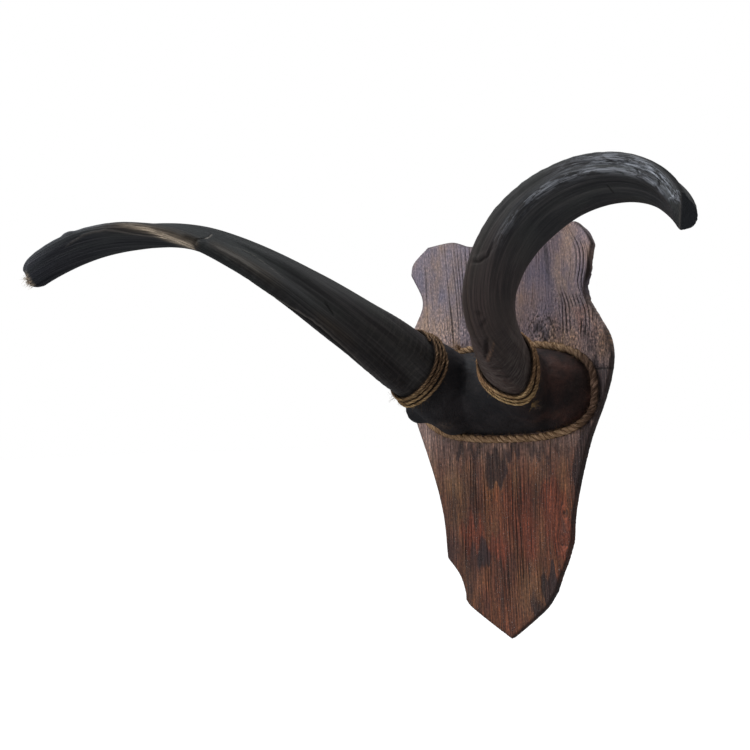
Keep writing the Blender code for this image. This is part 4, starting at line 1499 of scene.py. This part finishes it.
def socketMesh(line):
    # the room that a horn's root takes in the boss
    form = bossForm
    gap, deep = form["socketGap"], form["socketDepth"]

    def distanceAt(share):
        return -hornForm["rootDepth"] - gap + deep * share

    def offsetAt(angle, distance):
        centre, offset = line.section(angle, distance, 0.0)
        return centre, offset + unit(offset) * gap

    return closedTube("socket", line, form["socketRows"], distanceAt, offsetAt)


def tempObject(name, mesh):
    made = bpy.data.objects.new(name, mesh)
    bpy.context.scene.collection.objects.link(made)
    return made


def evaluatedMesh(made):
    graph = bpy.context.evaluated_depsgraph_get()
    graph.update()
    return bpy.data.meshes.new_from_object(made.evaluated_get(graph))


def smoothPoints(work, points, factor, passes=1):
    allWays = {"use_axis_x": True, "use_axis_y": True, "use_axis_z": True}
    for _ in range(passes):
        bmesh.ops.smooth_vert(work, verts=points, factor=factor, **allWays)


def foldLift(places, ahead):
    # how far the hide's folds and wrinkles stand out, less where it is drawn tight
    form = bossForm
    free = easeBetween(*form["freeOver"], -ahead)
    broad = layeredNoise(places, form["broad"])
    folds = 1 - np.abs(noiseOver(places, (58, 58, 74), 15.0)) * 2
    fine = layeredNoise(places, form["wrinkles"])
    lift = form["foldHeight"] * (broad + 0.5 * folds) * free
    return lift + form["wrinkleHeight"] * fine * (0.35 + 0.65 * free)


def flapPush(places, flap):
    thin = np.array(flap["thin"])
    away = places - flap["place"]
    away += thin * ((away @ thin) * flap["thinness"])[:, None]
    near = np.linalg.norm(away, axis=1) / flap["reach"] + layeredNoise(places, flap["ragged"])
    return np.array(flap["push"]) * np.exp(-np.maximum(near, 0.0) ** 3)[:, None]


def hideSkin():
    # the dome and both sleeves as one skin, smoothed where they meet, folded, and cut flat at the foot
    form = bossForm
    blank = tempObject("bossBlank", joinMeshes("bossBlank", [domeMesh(), *map(sleeveMesh, lines.values())]))
    skin = blank.modifiers.new("skin", "REMESH")
    skin.mode = "VOXEL"
    skin.voxel_size = form["voxel"]
    mesh = evaluatedMesh(blank)
    bpy.data.objects.remove(blank)
    work = bmesh.new()
    work.from_mesh(mesh)
    places = np.array([vertex.co[:] for vertex in work.verts])
    ahead = np.maximum(*(line.distanceAhead(places) for line in lines.values()))
    soft = [vertex for vertex, far in zip(work.verts, ahead) if far < -form["smoothStarts"]]
    smoothPoints(work, soft, form["smoothFactor"], form["smoothPasses"])
    smoothPoints(work, work.verts[:], form["lastFactor"])
    work.normal_update()
    places = np.array([vertex.co[:] for vertex in work.verts])
    normals = np.array([vertex.normal[:] for vertex in work.verts])
    places += normals * foldLift(places, ahead)[:, None]
    places += flapPush(places, hideFlap)
    for vertex, place in zip(work.verts, places):
        vertex.co = place
    foot = Vector((0, -boardForm["thickness"] - form["clearOfBoard"], 0))
    everything = work.verts[:] + work.edges[:] + work.faces[:]
    bmesh.ops.bisect_plane(work, geom=everything, dist=1e-6, plane_co=foot, plane_no=Vector((0, 1, 0)),
                           clear_outer=True)
    rim = [item for item in work.edges if item.is_boundary]
    bmesh.ops.holes_fill(work, edges=rim, sides=0)
    bmesh.ops.recalc_face_normals(work, faces=work.faces[:])
    work.to_mesh(mesh)
    work.free()
    return mesh


def makeBoss(paint):
    boss = tempObject("boss", hideSkin())
    cutters = [tempObject("socket", socketMesh(line)) for line in lines.values()]
    for cutter in cutters:
        cut = boss.modifiers.new("socket", "BOOLEAN")
        cut.operation = "DIFFERENCE"
        cut.solver = "EXACT"
        cut.object = cutter
    mesh = evaluatedMesh(boss)
    for old in [boss, *cutters]:
        bpy.data.objects.remove(old)
    mesh.name = "boss"
    places = np.array([vertex.co[:] for vertex in mesh.vertices])
    scuff = np.zeros(len(places))
    for spot in hideScuffs:
        near = np.linalg.norm((places - spot["place"]) * scuffShape, axis=1) / spot["reach"]
        scuff = np.maximum(scuff, np.exp(-near ** 2))
    storeValues(mesh, "scuff", scuff)
    addPiece("hideBoss", mesh, paint, "hide", "boss")


def hidePaint():
    paint = Finish("drawnHide", specular=0.26)
    place = paint.objectPlace()
    mottle = paint.cloud(place, 42.0, detail=4.0, roughness=0.6)
    fine = paint.cloud(place, 520.0, detail=3.0, roughness=0.65)
    pores = paint.cells(place, 900.0)
    side = paint.add("ShaderNodeSeparateXYZ", values={0: place}, output=0)
    warm = (side + mottle * 0.05).rise(0.055, 0.105)
    dark = paint.ramp(mottle, ((0.40, (0.0090, 0.0092, 0.0115)), (0.60, (0.0200, 0.0186, 0.0210))))
    brown = paint.ramp(mottle, ((0.38, (0.0125, 0.0058, 0.0048)), (0.50, (0.0275, 0.0120, 0.0097)),
                                (0.62, (0.0540, 0.0228, 0.0172))))
    whole = paint.blend(warm, dark, brown)
    worn = paint.blend(fine.rise(0.56, 0.72) * 0.40, whole, tone(0.055, 0.036, 0.028))
    creases = (paint.cloud(place, 210.0, detail=2.0) - 0.5).maths("ABSOLUTE").fall(0.01, 0.07)
    scuff = (paint.attribute("scuff") * creases).clamped()
    scuffed = paint.blend(scuff * 0.8, worn, tone(0.150, 0.110, 0.085))
    paint.set("Base Color", scuffed)
    paint.set("Roughness", 0.50 + 0.25 * fine)
    paint.set("Normal", paint.bump(fine * 0.8 + pores * 0.5 + mottle * 1.6, 0.0009, 0.8))
    return paint


# Jute: plies laid round a line, with loose hairs

plyForm = {
    # yarns of a ply, how deep they show, and how far yarns and fibres go for one turn, in radii of the ply
    "yarns": 4,
    "yarnDepth": 0.06,
    "yarnLay": 8,
    "fibreLay": 14,
    "uneven": 0.10,
    "unevenPerMetre": 70,
}

# Hairs: how much they bend, how short the shortest are, and how thick
hairForm = {
    "bend": 0.35,
    # loose ones: how far round from the cord's outer side they stand and how they lean away and along it
    "around": 1.9,
    "rooted": 0.9,
    "away": (0.15, 0.9),
    "lean": 1.6,
    "shortest": 0.35,
    "thickness": 0.00005,
    # frayed ones: how wide they start and how wide they point
    "frayedStart": 0.0008,
    "frayedSpread": 0.45,
    "frayedShortest": 0.4,
    "frayedThickness": 0.00011,
}

def tangents(path, closed):
    # the way a path runs at each point; a closed one ends where it starts
    if not closed:
        return unit(np.gradient(path, axis=0))
    along = unit(np.roll(path[:-1], -1, axis=0) - np.roll(path[:-1], 1, axis=0))
    return np.vstack([along, along[:1]])


def squareTo(along, rows):
    return unit(rows - along * np.sum(rows * along, axis=1, keepdims=True))


def laidPly(path, outward, start, cord, closed=False):
    # one ply that winds round the path: a grid of points rolled into a tube
    radius, offset, lay = cord["plyRadius"], cord["plyOffset"], cord["lay"]
    if closed:
        path = np.vstack([path, path[:1]])
        outward = np.vstack([outward, outward[:1]])
    rows = len(path) - 1
    mesh, around, up = gridMesh("ply", cord["plySides"], rows)
    row = np.rint(up * rows).astype(int)
    places = lengthAlong(path)
    if closed:
        lay = places[-1] / round(places[-1] / lay)
    along = tangents(path, closed)
    first = squareTo(along, outward)
    second = np.cross(along, first)
    wind = start + 2 * math.pi * places / lay
    ply = path + (first * np.cos(wind)[:, None] + second * np.sin(wind)[:, None]) * offset
    plyAlong = tangents(ply, closed)
    side = squareTo(plyAlong, unit(ply - path + first * 1e-9))
    other = np.cross(plyAlong, side)
    angle = around * 2 * math.pi
    yarnTurn = places[row] * 2 * math.pi / (radius * plyForm["yarnLay"])
    yarn = 1 + plyForm["yarnDepth"] * np.sin(angle * plyForm["yarns"] + yarnTurn)
    thick = 1 + plyForm["uneven"] * noiseOver(ply, plyForm["unevenPerMetre"], 3.0 + start)
    girth = radius * yarn * thick[row]
    if not closed:
        girth = girth * np.where((row == 0) | (row == rows), 0.0, 1.0)
    spoke = side[row] * np.cos(angle)[:, None] + other[row] * np.sin(angle)[:, None]
    points = ply[row] + spoke * girth[:, None]
    placePoints(mesh, points)
    # round the ply and along it, and, for painted shade, how deep between the plies and how low beside the
    # next turn
    turnBack = angle - places[row] * 2 * math.pi / (radius * plyForm["fibreLay"])
    lie = np.stack([np.cos(turnBack) * radius, np.sin(turnBack) * radius, places[row]], axis=-1)
    low = 0.5 - 0.5 * np.sum((points - path[row]) * first[row], axis=-1) / (offset + radius)
    storeValues(mesh, "lie", lie)
    storeValues(mesh, "shade", np.stack([0.5 - 0.5 * np.cos(angle), low, np.zeros(len(low))], axis=-1))
    weld(mesh)
    return mesh


def laidCord(path, outward, form, closed=False):
    radius = form["diameter"] / 2
    plyRadius = radius * form["plyShare"]
    cord = {**form, "plyRadius": plyRadius, "plyOffset": radius - plyRadius}
    starts = [2 * math.pi * ply / form["plies"] for ply in range(form["plies"])]
    return [laidPly(path, outward, start, cord, closed) for start in starts]


# A hair's points: share of its length, shares of its two bends, and its thickness there
hairPoints = ((0.0, 0.0, 0.0, 1.0), (0.35, 0.25, 0.0, 0.9), (0.70, 0.6, 0.0, 0.7), (1.0, 1.0, 0.4, 0.35))


def hairMesh(name, roots, directions, lengths, thickness):
    # loose hairs as one curve object with tapered splines, made a mesh
    data = bpy.data.curves.new(name, "CURVE")
    data.dimensions = "3D"
    data.bevel_depth = thickness
    data.bevel_resolution = 0
    data.use_fill_caps = True
    for root, direction, length in zip(roots, directions, lengths):
        bends = draws.normal(size=(2, 3)) * length * hairForm["bend"]
        spline = data.splines.new("POLY")
        spline.points.add(len(hairPoints) - 1)
        for spot, (reach, first, second, width) in zip(spline.points, hairPoints):
            point = root + direction * length * reach + bends[0] * first + bends[1] * second
            spot.co = (*point, 1.0)
            spot.radius = width
    made = tempObject(name, data)
    mesh = evaluatedMesh(made)
    bpy.data.objects.remove(made)
    return mesh


def looseHairs(path, outward, cordRadius, count, reach, thickness=hairForm["thickness"]):
    # hairs that stand off a cord's outer side and lean along it
    form = hairForm
    index = draws.integers(0, len(path) - 1, count)
    along = unit(np.gradient(path, axis=0))[index]
    first = unit(outward)[index]
    second = np.cross(along, first)
    angle = draws.uniform(-form["around"], form["around"], count)
    away = first * np.cos(angle)[:, None] + second * np.sin(angle)[:, None]
    roots = path[index] + away * cordRadius * form["rooted"]
    lean = draws.uniform(-form["lean"], form["lean"], count)[:, None]
    directions = unit(away * draws.uniform(*form["away"], count)[:, None] + along * lean)
    lengths = reach * draws.uniform(form["shortest"], 1.0, count) ** 1.5
    return hairMesh("hairs", roots, directions, lengths, thickness)


def frayed(name):
    form, end = hairForm, frayedEnds[name]
    count = end["count"]
    roots = np.array(end["place"]) + draws.normal(size=(count, 3)) * form["frayedStart"]
    directions = unit(np.array(end["toward"]) + draws.normal(size=(count, 3)) * form["frayedSpread"])
    lengths = end["reach"] * draws.uniform(form["frayedShortest"], 1.0, count)
    return hairMesh("frayed", roots, directions, lengths, form["frayedThickness"])


def twinePath(line):
    form = twineForm
    steps = form["turns"] * form["stepsPerTurn"]
    share = np.linspace(0, 1, steps + 1)
    angle = form["startAngle"] + share * form["turns"] * 2 * math.pi
    distance = form["ahead"] + form["spread"] * (2 * share - 1)
    distance += sum(far * np.sin(angle * pace + start) for far, pace, start in form["wander"])
    centre, offset = line.section(angle, line.askew(distance, angle), 0.0, sizeFrom=np.zeros(len(share)))
    outward = unit(offset)
    tuck = np.minimum(share, 1 - share) * steps / form["tuckSteps"]
    # the first turns lie on the hide, and the last ones drop off its rim onto the horn
    base = form["onHorn"] + form["onHide"] * (1 - easeBetween(*form["drop"], distance))
    high, pace, start = form["rise"]
    base += high * (1 + np.sin(angle * pace + start))
    height = base + form["diameter"] / 2 - form["tuckDepth"] * np.clip(1 - tuck, 0.0, 1.0)
    return line.inPlace(centre + offset + outward * height[:, None]), line.inPlace(outward)


def makeTwine(name, paint):
    form = twineForm
    path, outward = twinePath(lines[name])
    meshes = laidCord(path, outward, form)
    meshes.append(looseHairs(path, outward, form["diameter"] / 2, form["hairs"], form["hairReach"]))
    meshes.append(frayed(name))
    addPiece("juteTwine_" + name, joinMeshes("twine", meshes), paint, "jute", "twine_" + name)


ropeForm = {
    "diameter": 0.00792,
    "steps": 620,
    "plies": 3,
    "plyShare": 0.55,
    "lay": 0.026,
    "plySides": 12,
    "clearOfBoard": 0.0003,
    "hairs": 1300,
    "hairReach": 0.010,
    "hairWidth": 0.00006,
    # a stretch of the rope, in steps from its right end up, has more hairs
    "fuzz": 420,
    "fuzzReach": 0.0065,
    "fuzzyStretch": (60, 165),
}


def ropePath():
    form, boss = ropeForm, bossForm
    angle = np.linspace(0, 2 * math.pi, 6001)
    across, up = superellipse(angle, boss["ropeHalfWidth"], boss["ropeHalfHeight"], boss["ropePower"])
    places = lengthAlong(np.stack([across, up], axis=-1))
    wanted = places[-1] * np.arange(form["steps"]) / form["steps"]
    across = np.interp(wanted, places, across)
    up = np.interp(wanted, places, up)
    level = -boardForm["thickness"] - form["clearOfBoard"] - form["diameter"] / 2
    path = np.stack([across, np.full(len(across), level), boss["ropeCentreZ"] + up], axis=-1)
    outward = np.tile(np.array((0.0, -1.0, 0.0)), (len(path), 1))
    return path, outward


def makeRope(paint):
    form = ropeForm
    path, outward = ropePath()
    radius = form["diameter"] / 2
    meshes = laidCord(path, outward, form, closed=True)
    meshes.append(looseHairs(path, outward, radius, form["hairs"], form["hairReach"], form["hairWidth"]))
    stretch = slice(*form["fuzzyStretch"])
    meshes.append(looseHairs(path[stretch], outward[stretch], radius, form["fuzz"], form["fuzzReach"]))
    meshes.append(frayed("rope"))
    addPiece("juteRope", joinMeshes("rope", meshes), paint, "jute", "border_rope")


def jutePaint():
    paint = Finish("twistedJute", roughness=0.92, specular=0.15)
    lie = paint.attribute("lie", vector=True)
    inner, low, _ = paint.parts(paint.attribute("shade", vector=True))
    place = paint.objectPlace()
    side, depth, height = paint.parts(place)
    strands = paint.cloud(paint.stretched(lie, (1500, 1500, 70)), detail=3.0, roughness=0.65)
    broad = paint.cloud(place, 70.0, detail=3.0)
    color = paint.ramp(strands, ((0.38, (0.085, 0.050, 0.022)), (0.50, (0.300, 0.195, 0.092)),
                                 (0.62, (0.720, 0.510, 0.270))))
    toned = paint.blend(broad.rise(0.45, 0.66) * 0.45, color, tone(0.205, 0.125, 0.060))

    # the windings stand forward of the rope; painted shade darkens them above, the left one most, and
    # painted light makes the right one paler below
    winding = depth.fall(-0.070, -0.040)
    upper = (height + broad * 0.02).rise(-0.010, 0.020)
    shadeAbove = upper * winding
    shadedAbove = paint.tinted(shadeAbove, toned, tone(0.70, 0.61, 0.65))
    rightward = side.rise(-0.010, 0.010)
    litBelow = paint.tinted((1 - upper) * winding * rightward, shadedAbove, tone(1.24, 1.26, 1.24))
    # more painted shade on the upper part of the left winding
    shadedUpperLeft = paint.tinted(shadeAbove * (1 - rightward), litBelow, tone(0.62, 0.66, 0.72))

    # the rope is browner than the twine, and painted shade darkens it round its right end
    rope = depth.rise(-0.045, -0.025)
    roped = paint.tinted(rope, shadedUpperLeft, tone(0.92, 0.88, 1.04))
    rightEndShade = (side + broad * 0.03).rise(0.066, 0.108) * (height + broad * 0.02).rise(-0.045, -0.015)
    shadedRightEnd = paint.tinted(rightEndShade * rope, roped, tone(0.28, 0.26, 0.30))

    # painted shade on each ply's inner side, between the plies, and beside the next turn
    between = paint.blend(inner.rise(0.30, 0.85) * 0.85, shadedRightEnd, tone(0.022, 0.013, 0.008))
    shaded = paint.blend(low.rise(0.24, 0.56) * 0.90, between, tone(0.016, 0.010, 0.007))
    paint.set("Base Color", shaded)
    paint.set("Normal", paint.bump(strands, 0.0006, 0.9))
    return paint


# The whole mount

makeCamera(viewSetup)
makeStudio(viewSetup, lightSetup)
print("camera and studio ready")
makeHorn("right", hornPaint("right"))
makeHorn("left", hornPaint("left"))
print("horns ready")
makeBoard(woodPaint())
print("board ready")
makeBoss(hidePaint())
print("boss ready")
jute = jutePaint()
makeTwine("right", jute)
makeTwine("left", jute)
makeRope(jute)
print("twine and rope ready")
